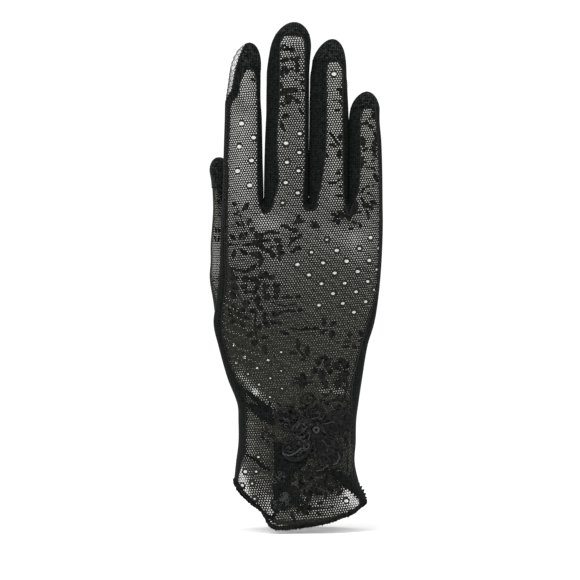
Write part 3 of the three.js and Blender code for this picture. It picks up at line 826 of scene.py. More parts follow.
# Eyelets in the photograph's pixels, and their size as a share of the full one
EYELETS = [
    (370.8, 237, 0.93), (326.6, 239.6, 0.55), (359.4, 248.7, 0.78), (336.6, 250.5, 0.86), (312, 252, 0.66),
    (369.5, 260, 0.9), (347, 261.5, 0.92), (323, 263, 0.78), (297.8, 264, 0.88), (357.7, 272, 0.87),
    (334.4, 273, 0.82), (309, 274.6, 0.78), (367.7, 281.6, 0.8), (345.4, 283, 0.76), (321, 284, 0.74),
    (356, 292, 0.77), (332.6, 293.6, 0.76), (365.4, 301.7, 0.78), (343.3, 303, 0.72), (319, 304.6, 0.72),
    (354, 312.6, 0.79), (378.6, 248, 1), (376.6, 270, 0.7), (374.5, 290, 0.65), (233.5, 345, 0.8),
    (244.5, 357, 0.85), (236.5, 362.6, 0.6), (256.6, 368, 0.52), (268, 360, 0.52), (281, 352, 0.44),
    (247.6, 374.4, 0.4), (281, 371, 0.36), (269.7, 378, 0.38), (258.6, 385, 0.44), (281.7, 388, 0.36),
    (270, 397, 0.4), (256, 114.6, 1.15), (241.3, 123.8, 1.18), (253.2, 137.3, 1), (239.3, 147.2, 1.12),
    (251.9, 160.2, 1.02), (237.5, 171, 1.18), (249.9, 185, 1.1), (299.3, 133.5, 0.82), (286, 142.5, 0.95),
    (299.3, 153, 0.8), (286.4, 162.6, 0.82), (298.8, 171.4, 0.78), (286, 182.7, 0.86), (297.8, 193, 0.82),
    (282.4, 202.6, 0.6), (334.5, 73.8, 1.06), (245.4, 471.5, 0.9), (255.8, 472, 0.48), (242, 484.8, 0.8),
    (252, 484, 0.48), (254, 498.7, 0.44), (258.5, 457, 0.52), (346.7, 501.5, 0.9),
]

# The smallest and largest hole, as shares of the cell
HOLE_LIMITS = (0.08, 0.8)
# Holes open as the net stretches, from the wrist up to the finger tips, and are smallest low on the hand,
# where the smaller holes are also painted shade: size as a share of the cell
HOLE_SIZES = table("height size", [
    (0, 0.38), (25, 0.31), (45, 0.22), (60, 0.17), (80, 0.155), (95, 0.185), (108, 0.235), (120, 0.265),
    (130, 0.3), (140, 0.33), (155, 0.335), (235, 0.38),
])
# Places where the net's holes are larger or smaller: partly where it is stretched more or less, partly
# painted light, such as wider holes for the highlight along the wrist's fold: a line in the photograph's
# pixels, half width, factor
STRETCHES_AND_PAINTED_LIGHT = [
    (244, 196, 240, 72, 16, 1.42), (292, 190, 292, 45, 9, 0.88), (335, 205, 335, 75, 8, 1.2),
    (252, 430, 252, 485, 9, 0.72), (366, 215, 366, 110, 9, 1.08), (292, 318, 292, 345, 18, 0.75),
    # The first two here widen the holes as a painted highlight along the wrist's fold
    (240, 375, 255, 392, 3.5, 2.7), (255, 392, 275, 408, 3.5, 2.4), (240, 384, 268, 410, 3, 0.7),
    (241, 472, 244, 492, 5, 2.8), (250, 470, 252, 492, 7, 1.3), (251, 425, 251, 455, 5, 1.7),
    (298, 468, 301, 476, 6, 7), (252, 470, 270, 468, 5, 0.6), (344, 492, 356, 502, 7, 2.5),
    (340, 482, 350, 490, 5, 2.2), (322, 390, 342, 392, 3.5, 2.6), (268, 500, 272, 516, 4, 2),
    (298, 500, 340, 503, 8, 1.5), (262, 224, 274, 224, 9, 1.5), (322, 284, 345, 290, 26, 0.84),
    (336, 236, 366, 240, 15, 1.25), (354, 234, 358, 258, 10, 1.3), (336, 214, 350, 222, 9, 0.72),
    (270, 250, 276, 262, 8, 1.2), (268, 334, 272, 366, 9, 0.76), (234, 92, 242, 108, 7, 0.76),
    (286, 38, 300, 38, 8, 1.4), (284, 50, 292, 80, 8, 1.25), (330, 62, 340, 62, 6, 1.3),
    (306, 425, 306, 475, 34, 0.1), (338, 425, 338, 470, 22, 0.2), (284, 425, 284, 500, 14, 0.2),
    (300, 480, 340, 485, 9, 0.3), (300, 409, 350, 404, 9, 0.6),
]


def hole_size(places):
    flat = cloth_to_front(places)
    size = read(HOLE_SIZES, "size", flat[..., 1])
    for x0, y0, x1, y1, width, factor in STRETCHES_AND_PAINTED_LIGHT:
        start, end = front_place([(x0, y0), (x1, y1)])
        run = end - start
        share = np.clip(((flat - start) @ run) / (run @ run), 0, 1)
        away = np.linalg.norm(flat - start - share[..., None] * run, axis=-1)
        size = size * (1 + (factor - 1) * np.exp(-((away / (width * PHOTO_MM)) ** 2)))
    return np.clip(size, *HOLE_LIMITS)


THUMB_MEAN_RADIUS = 9.2
THUMB_TURN = 2 * np.pi * THUMB_MEAN_RADIUS
# The thumb's net is tighter on its outer side, which shows beside the hand
THUMB_HOLES = (0.5, 0.6)
THUMB_OUTER = 0.3


def thumb_hole(places):
    outer = np.cos(2 * np.pi * places[..., 0] / THUMB_TURN) < THUMB_OUTER
    return np.where(outer, *THUMB_HOLES)


NET_TILT = 5
# Pitch across and along the net, the hole's size as a share of its cell, and the thread's height
BACK_NET = Net((1.2, 1.04), hole_size, 0.13, NET_TILT)
THUMB_NET = Net((0.96, 0.82), thumb_hole, 0.17)

# Palm mesh: two slanting sets of fine threads. They are thinner on the fingers, from the first to the second
# height, and thick beside the side seams.
MESH_PITCH = 0.46
MESH_THREAD = 0.1
FINGER_THREAD = 0.07
FINGER_THREAD_HEIGHTS = (150, 170)
SIDE_THREAD = 0.3
WRAP_END_THREAD = 0.03
# How far beyond a side band's edge the thread starts to thicken and is thickest
SIDE_REACH = (0.2, 4)
# The thumb's side band lies beside the finger up to here
THUMB_BAND_SIDE_TOP = 193
MESH_SLANTS = (52, 128)
MESH_STEP = 1.7
MESH_RELIEF = 0.05
MESH_RIDGE = 0.08
WRAP_PITCH = 1.5
WRAP_THREAD = 0.09


def palm_thread(places):
    """Width of the palm's threads."""
    across, height = cloth_to_front(places).T
    thread = MESH_THREAD + (FINGER_THREAD - MESH_THREAD) * ease(*FINGER_THREAD_HEIGHTS, height)
    left = (read(THUMB_BAND_EDGE, "across", height) - across) * (height < THUMB_BAND_SIDE_TOP)
    right = across - read(LITTLE_BAND_EDGE, "across", height)
    thread = thread + (SIDE_THREAD - thread) * ease(*SIDE_REACH, np.maximum(left, right))
    on_wrap = (height > WRAP_FROM) & (across < read(INDEX_WRAP_EDGE, "across", height))
    return np.where(on_wrap, WRAP_END_THREAD, thread)


def build_mesh(shape, low, high, inside_panel, surface, pitch=MESH_PITCH, thread=palm_thread):
    """Fine mesh of crossing threads over the places on the cloth that inside_panel says."""
    low, high = np.array(low, float), np.array(high, float)
    middle, reach = (low + high) / 2, np.hypot(*(high - low)) / 2
    for layer, slant in enumerate(MESH_SLANTS):
        along = direction(math.radians(slant))
        aside = np.array([-along[1], along[0]])
        offsets = np.arange(-reach, reach, pitch)
        steps = np.arange(-reach, reach, MESH_STEP)
        starts = middle + offsets[:, None, None] * aside + steps[None, :, None] * along
        places = starts.reshape(-1, 2)
        room = np.all((places > low) & (places < high), axis=1)
        places = places[room]
        middles = places + along * MESH_STEP / 2
        kept = inside_panel(middles)
        places, middles = places[kept], middles[kept]
        width = thread(middles) if callable(thread) else np.full(len(places), thread)
        edges = width[:, None] / 2 * aside
        ends = (places, places + MESH_STEP * along)
        corners = np.stack([end + edge * edges for end in ends for edge in (-1, 0, 1)], 1)
        ridge = np.tile([0, MESH_RIDGE, 0], 2 * len(places))
        points = surface(corners.reshape(-1, 2), layer * MESH_RELIEF + ridge)
        number = np.arange(len(points)).reshape(-1, 6)
        shape.add(points, [number[:, [0, 3, 4, 1]], number[:, [1, 4, 5, 2]]])


def in_thumb(points, room=0.0):
    """Which points in space lie inside the thumb."""
    x, y, z = np.moveaxis(points, -1, 0)
    across = (x - read(THUMB, "across", z)) / (read(THUMB, "half_width", z) + room)
    deep = (y - read(THUMB, "deep", z)) / (read(THUMB, "half_depth", z) + room)
    return (z > THUMB["height"][0]) & (z < THUMB_TIP) & (across**2 + deep**2 < 1)


def build_back():
    shape = Shape()
    cells = BACK_NET.cells((-FAR, 0), (FAR, NET_TOP))
    flat = cloth_to_front(BACK_NET.place(cells))
    keep = inside(flat, back_outline) & above_hem(flat, FRONT)
    rows = np.array(EYELETS)
    places = roll_out(front_place(rows[:, :2]))
    BACK_NET.build(shape, cells[keep], on_cloth(FRONT), list(zip(places, rows[:, 2])))
    return shape.make("lace_back_net", NET)


# The palm is open this much less than the whole thumb is wide, where the thumb leaves it
THUMB_ROOM = -0.3
# Heights within which the mesh is woven round the index finger's side, in front and behind
WRAP_HEIGHTS = {FRONT: (190, 230), BACK: (210, 230)}


def build_palm():
    shape = Shape()

    def on_hand(places, flat):
        left, right = outline(flat[:, 1])
        return np.abs(places[:, 0]) < (right - left) / 2 * ARC_LENGTH

    def on_palm(places):
        flat = cloth_to_front(places)
        points = on_surface(flat[:, 0], flat[:, 1], BACK)
        in_panel = inside(flat, palm_outline) & above_hem(flat, BACK)
        return in_panel & on_hand(places, flat) & ~in_thumb(points, THUMB_ROOM)

    def on_wrap(places):
        flat = cloth_to_front(places)
        return inside(flat, wrap_outline) & on_hand(places, flat)

    def on_wrap_end(places):
        return on_wrap(places) & (places[:, 1] > index_top)

    build_mesh(shape, (-FAR, 0), (FAR, NET_TOP), on_palm, on_cloth(BACK))
    for side, part in ((FRONT, on_wrap), (BACK, on_wrap_end)):
        low, high = WRAP_HEIGHTS[side]
        build_mesh(shape, (-FAR, low), (0, high), part, on_cloth(side), WRAP_PITCH, WRAP_THREAD)
    return shape.make("lace_palm_net", NET)


# The thumb's net starts this far from the palm, and this far above the thumb's lowest section
THUMB_CLEAR = 0.2
THUMB_NET_FROM = 2


def build_thumb():
    shape = Shape()
    around = round(THUMB_TURN / THUMB_NET.across)
    wide = around * THUMB_NET.across
    cells = THUMB_NET.cells((0, THUMB["height"][0] + THUMB_NET_FROM), (wide - 0.01, THUMB_LACE_TOP))
    cells = cells[(cells[:, 0] >= 0) & (cells[:, 0] < 2 * around)]

    def surface(places, lift):
        return on_thumb(2 * np.pi * places[..., 0] / wide, places[..., 1], lift + NET_LIFT)

    shown = behind_palm(surface(THUMB_NET.place(cells), 0)) >= THUMB_CLEAR
    THUMB_NET.build(shape, cells[shown], surface)
    return shape.make("lace_thumb_net", NET)


def behind_palm(points):
    """How far points in space stand behind the palm, or beside the glove."""
    x, y, z = np.moveaxis(points, -1, 0)
    left, right = outline(z)
    aside = np.maximum(left - x, x - right)
    behind = y - curl(z) - surface_depth(x, z, BACK)
    return np.where(aside > 0, np.maximum(aside, behind), behind)


# Opaque bands, strips and tips

BAND_LIFT = 0.3
BAND_COLUMNS = 12
BAND_ROWS = {"thumb": 160, "little": 150}
STRIP_ROOT_ROWS, STRIP_ROWS = 16, 50


def toward_edge(start, end, count):
    """Places from start to end, closer together at the end, where the cloth turns away."""
    share = np.sin(np.linspace(0, np.pi / 2, count))
    return start[:, None] + (end - start)[:, None] * share


# The opaque finger ends reach down round the top corners of the lace
ARCH = 3.4
ARCH_HEIGHT = 7


def arch(heights, top):
    share = np.clip((heights - top + ARCH_HEIGHT) / ARCH_HEIGHT, 0, 1)
    return ARCH * (1 - np.sqrt(1 - share**2))


def band(shape, edge, outer, heights, side):
    """Strip of cloth between a seam line and where the cloth turns to the other side."""
    across = toward_edge(edge, outer, BAND_COLUMNS)
    rows = np.broadcast_to(heights[:, None], across.shape)
    shape.grid(on_surface(across, rows, side, BAND_LIFT))


# Where the side bands meet the hem, and their least width
BAND_FEET = {"thumb": -28.2, "little": 29.5}
BAND_LEAST = 0.4


def build_bands():
    thumb_side, little_side = Shape(), Shape()
    heights = np.linspace(hem_height_at(BAND_FEET["thumb"], FRONT), index_top, BAND_ROWS["thumb"])
    left = outline(heights)[0]
    wrap = np.where(heights > WRAP_FROM, read(INDEX_WRAP_EDGE, "across", heights), -FAR)
    edge = read(THUMB_BAND_EDGE, "across", heights) + arch(heights, index_top)
    band(thumb_side, np.maximum(edge, left + BAND_LEAST), np.maximum(left, wrap), heights, FRONT)
    top = FINGERS["little"]["lace_top"]
    heights = np.linspace(hem_height_at(BAND_FEET["little"], FRONT), top, BAND_ROWS["little"])
    right = outline(heights)[1]
    edge = read(LITTLE_BAND_EDGE, "across", heights) - arch(heights, top)
    band(little_side, np.minimum(edge, right - BAND_LEAST), right, heights, FRONT)
    return thumb_side.make("side_band_thumb", KNIT), little_side.make("side_band_little", KNIT)


# Heights over which a strip leaves the middle of the crotch for the finger's own side
STRIP_SPLIT = (HAND_TOP - 0.5, HAND_TOP + 2.5)


def build_fourchette(name, left_finger, left_rows, right_finger, right_rows, gap):
    shape = Shape()
    for finger, rows, which in ((left_finger, left_rows, 1), (right_finger, right_rows, 0)):
        low, high = rows["height"][0], FINGERS[finger]["lace_top"]
        root = low + (HAND_TOP - low) * np.sin(np.linspace(0, np.pi / 2, STRIP_ROOT_ROWS))
        heights = np.concatenate([root, np.linspace(HAND_TOP, high, STRIP_ROWS)[1:]])
        edge = read(rows, "across", heights) + arch(heights, high) * (-1 if which else 1)
        silhouette = finger_edges(finger, heights)[which]
        split = ease(*STRIP_SPLIT, heights)
        outer = gap * (1 - split) + silhouette * split
        for side in (FRONT, BACK):
            band(shape, edge, outer, heights, side)
    return shape.make(f"strip_{name}", KNIT)


TIP_SIDES = 40
TIP_ROWS = 22
# How far a finger's end reaches down over its lace, and how small it gets at its very end
TIP_OVER = 0.6
TIP_LEAST = 0.02


def finger_ring(name, height, room, at=None):
    """Ring round a finger. Where at is given, it has the outline that the finger has at that height."""
    left, right = finger_edges(name, height if at is None else at)
    half = max((right - left) / 2 + room, TIP_LEAST)
    angle = turns(TIP_SIDES)
    across = (left + right) / 2 + rounded(np.cos(angle), FINGER_POWER) * half
    deep = curl(height) + rounded(np.sin(angle), FINGER_POWER) * half * FINGER_DEPTH_SHARE
    return np.stack([across, deep, np.full(TIP_SIDES, height)], -1)


def build_tip(name):
    """Closed round end of a finger, over the end of its lace."""
    finger = FINGERS[name]
    shape = Shape()
    low, high = finger["lace_top"] - TIP_OVER, finger["tip"]
    heights = low + (high + BAND_LIFT - low) * np.sin(np.linspace(0, np.pi / 2, TIP_ROWS))
    rings = []
    for height in heights:
        room = BAND_LIFT * math.cos(math.pi / 2 * (height - low) / (high - low + 1))
        rings.append(finger_ring(name, height, room if height < high else -FAR, min(height, high)))
    rings = np.array(rings)
    shape.grid(rings, around=True)
    if name == "index":
        faces = shape.faces[0]
        middle = rings.reshape(-1, 3)[faces].mean(1)
        edge = read(INDEX_WRAP_EDGE, "across", middle[:, 2])
        shape.faces[0] = faces[(middle[:, 0] > edge) | (middle[:, 2] > WRAP_TOP + 1)]
    return shape.make(f"finger_tip_{name}", KNIT_END_PAINTED_SHEEN)


def build_thumb_tip():
    shape = Shape()
    low = THUMB_LACE_TOP - TIP_OVER
    rise = np.sin(np.linspace(0, np.pi / 2, TIP_ROWS - 2))[:, None]
    heights = low + (THUMB_TIP - TIP_LEAST - low) * rise
    shape.grid(on_thumb(turns(TIP_SIDES), heights, BAND_LIFT), around=True)
    return shape.make("thumb_end", KNIT_END_PAINTED_SHEEN)


# Lace motifs, in the photograph's pixels. Leaves: from, to, width. Spots: middle, half sizes.

LEAVES = [
    (280, 51, 285, 44.5, 2.6), (285, 45, 289, 49, 2.6), (279, 70, 283, 77, 4), (281, 82, 283, 88, 3),
    (290, 76, 294, 77.5, 1.3), (295, 79, 299, 80.5, 1.3), (299, 81, 304, 83, 1.5), (301, 73, 304, 76, 2.5),
    (288, 93, 298, 91, 4), (293, 93, 293, 87, 3), (285, 97, 294, 98, 3), (294, 98.5, 302, 102.5, 4),
    (279, 103, 286, 107, 2.5), (300, 108, 304, 115, 3), (282, 117.5, 290, 116.5, 3.8),
    (281, 121, 286, 131, 3.2), (340, 88, 340, 96, 4), (331, 100, 337, 99.5, 1.8),
    (336, 99.5, 342, 104, 2.5), (334, 110, 341, 109, 2.2), (328, 132, 335, 139, 2.5),
    (335, 139, 341, 146, 3), (329, 145, 337, 147, 2.8), (327, 152, 328, 158, 2), (336, 171, 343, 170, 1.5),
    (327, 181.5, 338, 181.5, 2.6), (338, 181, 344, 178, 1.8), (338, 187, 344, 184, 1.6),
    (334, 196, 345, 197.5, 2.4), (340, 165, 345, 163, 1.2), (331, 214, 337, 217, 3),
    (331, 221, 337, 218, 2.5), (335, 218, 348, 216, 4), (311, 221, 320, 227, 5), (359, 117.5, 364, 116, 2),
    (357, 126, 364, 122, 3), (369, 119, 372, 118, 1.5), (357, 129, 362, 127, 2), (373, 131, 375, 137, 2),
    (374, 150, 371, 146, 2), (371, 151, 375, 149, 2), (372, 156, 376, 153, 3), (371, 161, 376, 160, 2),
    (360, 157, 365, 157.5, 2.5), (359, 160, 362, 168, 4), (364, 166.5, 371, 167, 2.2),
    (371, 167, 375, 171, 2.5), (361, 189, 366, 187.5, 2.5), (366, 187.5, 371, 185.5, 2.5),
    (371, 185.5, 375, 184, 2), (366, 193, 371, 195, 2.4), (371, 195, 375, 197, 1.5),
    (361, 197, 363, 203, 2.5), (366, 209, 369, 215, 3), (368, 214, 368, 220, 3), (357, 213, 362, 210, 2),
    (362, 205, 366, 208, 2), (352, 221, 358, 223, 2.2), (358, 223, 361, 229, 2.5),
    (232, 203, 237, 204.5, 3.2), (248, 202, 242, 211, 4), (237, 208, 241, 213, 2),
    (233, 213, 238, 216, 2.6), (224, 214, 229, 216, 3), (235, 223, 241, 226.5, 3),
    (252, 218, 248, 225, 3.8), (254, 227, 250, 232, 4.4), (243, 233, 240, 240, 3.4),
    (230, 235, 235, 240, 3.4), (242, 245, 252, 242.5, 3.2), (234, 250, 232, 258, 3.6),
    (240, 249, 248, 254, 3.4), (250, 254, 261, 258, 4), (266, 257, 259, 267, 3.6),
    (257, 264, 246, 270, 4.2), (230, 278, 239, 277, 4), (281, 226, 289, 228.5, 3),
    (299, 217, 299.5, 222, 2), (293, 224, 304, 221.5, 4.4), (287, 228, 298, 229, 2.8),
    (291, 233, 300, 232, 2.5), (303, 233, 298, 239, 3.5), (292, 242, 298, 237, 3),
    (290, 251, 296, 251, 3.6), (294, 250, 302, 248.5, 3.4), (262, 279, 267, 272, 3),
    (230, 286, 238, 289, 4.5), (232, 291, 236, 299, 5), (231, 305, 236, 310, 2), (228, 308, 232, 313, 2),
    (235, 312, 242, 318, 3), (228, 313.5, 234, 316.5, 2.2), (241, 317, 250, 320, 3),
    (231, 320, 236, 321, 2.5), (240, 321, 244, 328, 3.6), (272, 311, 278, 316, 3.8),
    (262, 317, 268, 314, 5), (270, 321, 276, 322, 3.6), (275, 322.5, 281, 324.5, 3.8),
    (245, 336, 254, 332, 3.4), (261, 338, 268, 337.5, 3.4), (266, 345, 266, 354, 4),
    (281, 298, 294, 298, 3), (277, 313, 283, 311.5, 2.6), (283, 311.5, 296, 312, 2.6),
    (280, 330, 290, 334, 3.2), (297, 339, 297.5, 349, 3), (308.5, 345, 308, 357, 3.6),
    (300, 361, 306, 359.5, 2.6), (289, 352, 298, 352, 2.6), (302, 329.5, 311, 329, 2.4),
    (313, 327.5, 319, 328.5, 3), (323, 317, 323.5, 326, 4.4), (336, 322, 330, 327, 3.4),
    (320, 335, 326, 331, 3.2), (344, 341, 351, 341, 2.4), (341, 348.5, 350, 346.5, 2.6),
    (352, 344, 357, 348, 3), (358, 341, 364, 343, 2.4), (294, 378, 300, 378, 2), (293, 383, 300, 383, 2),
    (308, 378, 313, 377, 1.6), (308, 383, 313, 383, 1.6), (317, 503, 324, 501, 2.6),
    (316, 513, 322, 516, 2.2), (292, 512, 296, 522, 3), (301, 510, 309, 515, 4), (272, 500, 276, 511, 3),
    (299, 478, 306, 471, 4), (308, 473, 313, 481, 4.4), (316, 472, 324, 474, 4), (327, 474, 330, 483, 4.6),
    (300, 487, 309, 484, 4.2), (311, 487, 319, 490, 4), (319, 479, 324, 486, 3.6), (333, 478, 339, 486, 4),
    (325, 490, 334, 488, 4.2), (304, 506, 297, 513, 4.4), (304, 506, 312, 511, 4.4),
    (304, 505, 299, 497, 4), (305, 505, 311, 497, 4), (303, 493, 311, 495, 3), (336, 491, 341, 494, 2.6),
    (289, 476, 294, 470, 3.4), (280, 60.5, 290, 60, 2.6), (293, 58.5, 301, 57, 2.8),
    (281, 70.5, 290, 71, 2.6), (293, 70.5, 301, 69.5, 2.6), (281, 92, 300, 90, 2.8),
    (284, 98, 296, 98, 2.4), (281, 117.5, 290, 117, 4), (281, 48, 288, 50, 2.6), (287, 50, 296, 50.5, 2),
    (299, 107, 304, 115, 1.4), (300, 84, 305, 85, 1.8), (301, 89, 305, 91, 2.4), (371, 112, 375, 120, 4),
    (376, 137, 376, 158, 4), (368, 126, 374, 128, 3.2), (361, 150, 368, 148, 2.8),
    (369, 149.5, 374, 150, 2.4), (375, 172, 378, 182, 3.6), (370, 201, 376, 204, 3.2),
    (358, 115, 360, 122, 2.4), (361, 136, 363, 147, 5), (364, 202, 370, 207, 3.2), (336, 89, 341, 90, 2.6),
    (326, 138, 326, 150, 2.6), (336, 136, 341, 141, 2.6), (340, 149, 340, 158, 3.6),
    (342, 62, 342, 110, 1.4), (347, 201, 347, 214, 4.5), (353, 199, 353, 215, 6), (350, 205, 350, 221, 7),
    (251, 70, 257, 72.5, 2), (251, 79, 258, 80, 2.2), (257, 82, 258, 90, 1.6), (254, 75, 258, 77, 1.6),
]
SPOTS = [
    (291.5, 49.5, 3, 3), (287, 59.5, 2.6, 2.2), (283.5, 61.5, 2.2, 2), (291.5, 58.8, 2.5, 1.6),
    (296, 60, 3, 2.6), (297.5, 65.5, 2.8, 2.6), (296.5, 70.5, 3, 2.4), (291, 69, 1.8, 1.5),
    (287, 72, 2.6, 2.6), (284, 67.5, 2.4, 2), (284, 92.5, 3.8, 3.5), (288, 101, 3, 3.4), (341, 137, 3, 3),
    (339, 154, 2.6, 4), (338, 172.5, 2.2, 1.8), (340, 213, 2.5, 3), (338, 222, 2.4, 3),
    (366, 123, 2.6, 2.2), (361, 141, 4, 5), (363, 162, 3, 2.5), (362, 192, 1.8, 1.5), (366, 205, 3.5, 3),
    (371, 207, 2.5, 2.8), (351, 229, 2, 1.5), (246, 234, 2, 2.5), (230, 245, 2.2, 1.6), (259, 255.5, 3, 3),
    (258, 236, 4, 4), (256.5, 243, 5, 3.5), (262, 247.5, 3, 3), (268, 240.5, 3, 2), (262, 241, 3, 2.5),
    (268.5, 250.5, 4, 3), (273, 255, 3, 3), (277.5, 240.5, 4, 2.5), (279.5, 247.5, 3, 4),
    (281.5, 253, 3.5, 3), (279, 258, 2.2, 2.2), (272, 247, 2, 1.8), (298.5, 216.5, 2, 1.8),
    (245.5, 279, 4, 3.2), (253.5, 279.5, 4, 3.2), (258, 283, 3, 3), (244, 286.5, 3.5, 2.6),
    (246.5, 292, 3, 2), (253.5, 292, 3.5, 2.6), (256.5, 287.5, 3, 3), (261, 276, 3.5, 3.2),
    (266, 274, 3, 3), (271.5, 277.5, 3.5, 2.4), (265.5, 286, 3.5, 2.8), (276, 285.5, 3.8, 2.6),
    (277, 291, 3, 3), (275.5, 296.5, 3.2, 2.4), (266.5, 296.5, 4, 3), (264, 291.5, 2.2, 2),
    (246.5, 303, 4, 3.2), (252, 299, 2, 1.5), (257.5, 300.5, 3, 4.5), (260, 307.5, 3.5, 3),
    (253, 311, 3.5, 2.6), (242, 310.5, 3.2, 2.4), (232, 322, 2.2, 2.2), (265.5, 322, 3, 4),
    (268, 326, 2, 2.5), (259.5, 327, 2.4, 2.6), (254.5, 342.5, 3, 3.5), (298.5, 296, 2, 2.2),
    (300, 310, 2.6, 2), (332, 334, 3, 3.5), (350, 334, 3, 2.6), (361, 334, 3, 3), (363, 340, 2.5, 1.8),
    (324, 357.5, 4.5, 2.5), (327, 363, 3, 5), (318, 362, 3, 3.5), (336, 366, 4, 4), (340, 361, 2.5, 3),
    (346, 365, 3.5, 4), (322, 374, 4, 4.5), (330, 371, 3, 3), (345, 373.5, 4, 2.5), (343, 380, 4, 3),
    (338, 383, 4, 4), (325, 383, 3, 3), (314.5, 370.5, 3, 3), (303, 381, 4.5, 7), (303, 374.5, 1.8, 2),
    (276, 488, 4, 6), (285, 487, 6, 9), (295, 497, 5, 8),
]
STEMS = [
    ([(240, 214), (241, 219), (243, 224), (244, 228), (247, 232)], 1.5), ([(232, 245), (240, 244)], 1.4),
    ([(231, 268), (238, 270), (246, 271.5), (251, 268)], 2.6), ([(232, 270), (233, 276)], 2.5),
    ([(242, 240), (247, 236)], 1.5), ([(262, 235), (268, 232.5), (274, 232), (279, 233)], 3),
    ([(288, 247), (291, 240), (290, 234)], 2), ([(256, 313), (255, 320), (255, 328), (257, 338)], 1.6),
    ([(270, 301), (276, 304), (284, 305.5), (296, 304)], 1.6), ([(294, 298.5), (300, 295)], 2),
    ([(290, 328), (302, 329.5), (312, 329), (328, 330)], 1.5), ([(298, 349), (303, 355), (306, 358)], 1.5),
    ([(300, 401), (303, 396), (308, 393.5), (313, 396), (316, 400)], 2),
    ([(308, 508), (322, 508.5), (333, 507)], 1.6),
    ([(322, 389), (327, 387), (331, 390), (328, 395), (322, 394)], 1.6),
    ([(335, 389), (341, 387), (346, 390), (343, 396), (337, 394)], 1.6),
    ([(262, 430), (268, 433), (275, 440)], 1.2), ([(266, 437), (271, 436), (275, 432)], 1.1),
]

THUMB_LEAVES = [
    (217, 186, 221, 187, 2.4), (217, 190, 221, 193, 2.6), (219, 195, 222, 199, 2.4),
    (216, 198, 218, 203, 2), (214, 226, 215, 233, 2.6), (213, 235, 215, 241, 2.6),
    (217, 227, 218, 234, 2.4), (218, 236, 217, 242, 2.4), (211, 282, 216, 280, 1.2),
    (216, 280, 222, 277, 1.2), (214, 288, 217, 292, 1.6),
]
# Dense lace: a rectangle in pixels, and how many small leaves lie over each other in it
THICKETS = [
    (298, 468, 342, 496, 95), (274, 474, 300, 508, 50), (322, 356, 348, 388, 24), (262, 428, 276, 446, 8),
    (300, 396, 348, 430, 70), (304, 436, 348, 474, 60), (264, 404, 294, 424, 22),
]
THICKET_LEAF = (3, 6.5)
THICKET_WIDTH = 2.2

MOTIF_LIFT = -0.02
MOTIF_RISE = 0.26
MOTIF_RIB = 0.07
MOTIF_STEP = 0.2
MOTIF_WIDER = 1.22
SPOT_WIDER = 1.02
MOTIF_COLUMNS = np.array([-1, -0.6, 0, 0.6, 1])
LEAF_BLUNTNESS = 0.6
# Half width left at the points of a leaf and of a spot, as a share, and for the spot its square
LEAF_POINT, SPOT_POINT = 0.02, 0.0004
TOOTH_DEPTH = 0.26
TOOTH_STEPS = 5
LEAF_BEND = 0.1


def on_front(places, lift):
    return on_surface(places[..., 0], places[..., 1], FRONT, lift)


def on_thumb_front(places, lift):
    x, z = places[..., 0], places[..., 1]
    share = (x - read(THUMB, "across", z)) / read(THUMB, "half_width", z)
    return on_thumb(-np.arccos(np.clip(share, -1, 1)), z, lift)


def motif(shape, path, half_width, lift=MOTIF_LIFT, rise=MOTIF_RISE, surface=on_front):
    """Ribbed, slightly domed patch of dense stitches along a path, with small teeth at its edge."""
    teeth = 1 + TOOTH_DEPTH * np.sin(2 * np.pi * np.arange(len(path)) / TOOTH_STEPS)
    half_width = (half_width * teeth)[:, None, None]
    places = path[:, None] + beside(path)[:, None] * half_width * MOTIF_COLUMNS[:, None]
    rib = MOTIF_RIB * (np.arange(len(path)) % 2)[:, None]
    lifts = lift + rise * (1 - MOTIF_COLUMNS**2) + rib
    shape.grid(surface(places, lifts))


def leaf(shape, start, end, width, bend, surface=on_front):
    start, end = np.array(start), np.array(end)
    run = end - start
    count = max(int(np.hypot(*run) / MOTIF_STEP), 6)
    share = np.linspace(0, 1, count)
    rise = np.sin(np.pi * share)
    path = start + share[:, None] * run + bend * rise[:, None] * np.array([-run[1], run[0]])
    motif(shape, path, width / 2 * np.maximum(rise, LEAF_POINT) ** LEAF_BLUNTNESS, surface=surface)


def spot(shape, middle, half_across, half_up):
    share = np.sin(np.linspace(-np.pi / 2, np.pi / 2, max(int(2 * half_across / MOTIF_STEP), 8)))
    path = np.array(middle) + share[:, None] * np.array([half_across, 0])
    motif(shape, path, half_up * np.sqrt(np.maximum(1 - share**2, SPOT_POINT)))


def resampled(points, step):
    """Smooth curve through a few points, as points a step apart."""
    points = np.asarray(points, float)
    length = run_length(points)
    at = np.linspace(0, length[-1], max(int(length[-1] / step), 4))
    if len(points) == 2:
        return np.stack([np.interp(at, length, column) for column in points.T], -1)
    columns = {"along": length, **{str(i): column for i, column in enumerate(points.T)}}
    return np.stack([read(columns, str(i), at, "along") for i in range(points.shape[1])], -1)


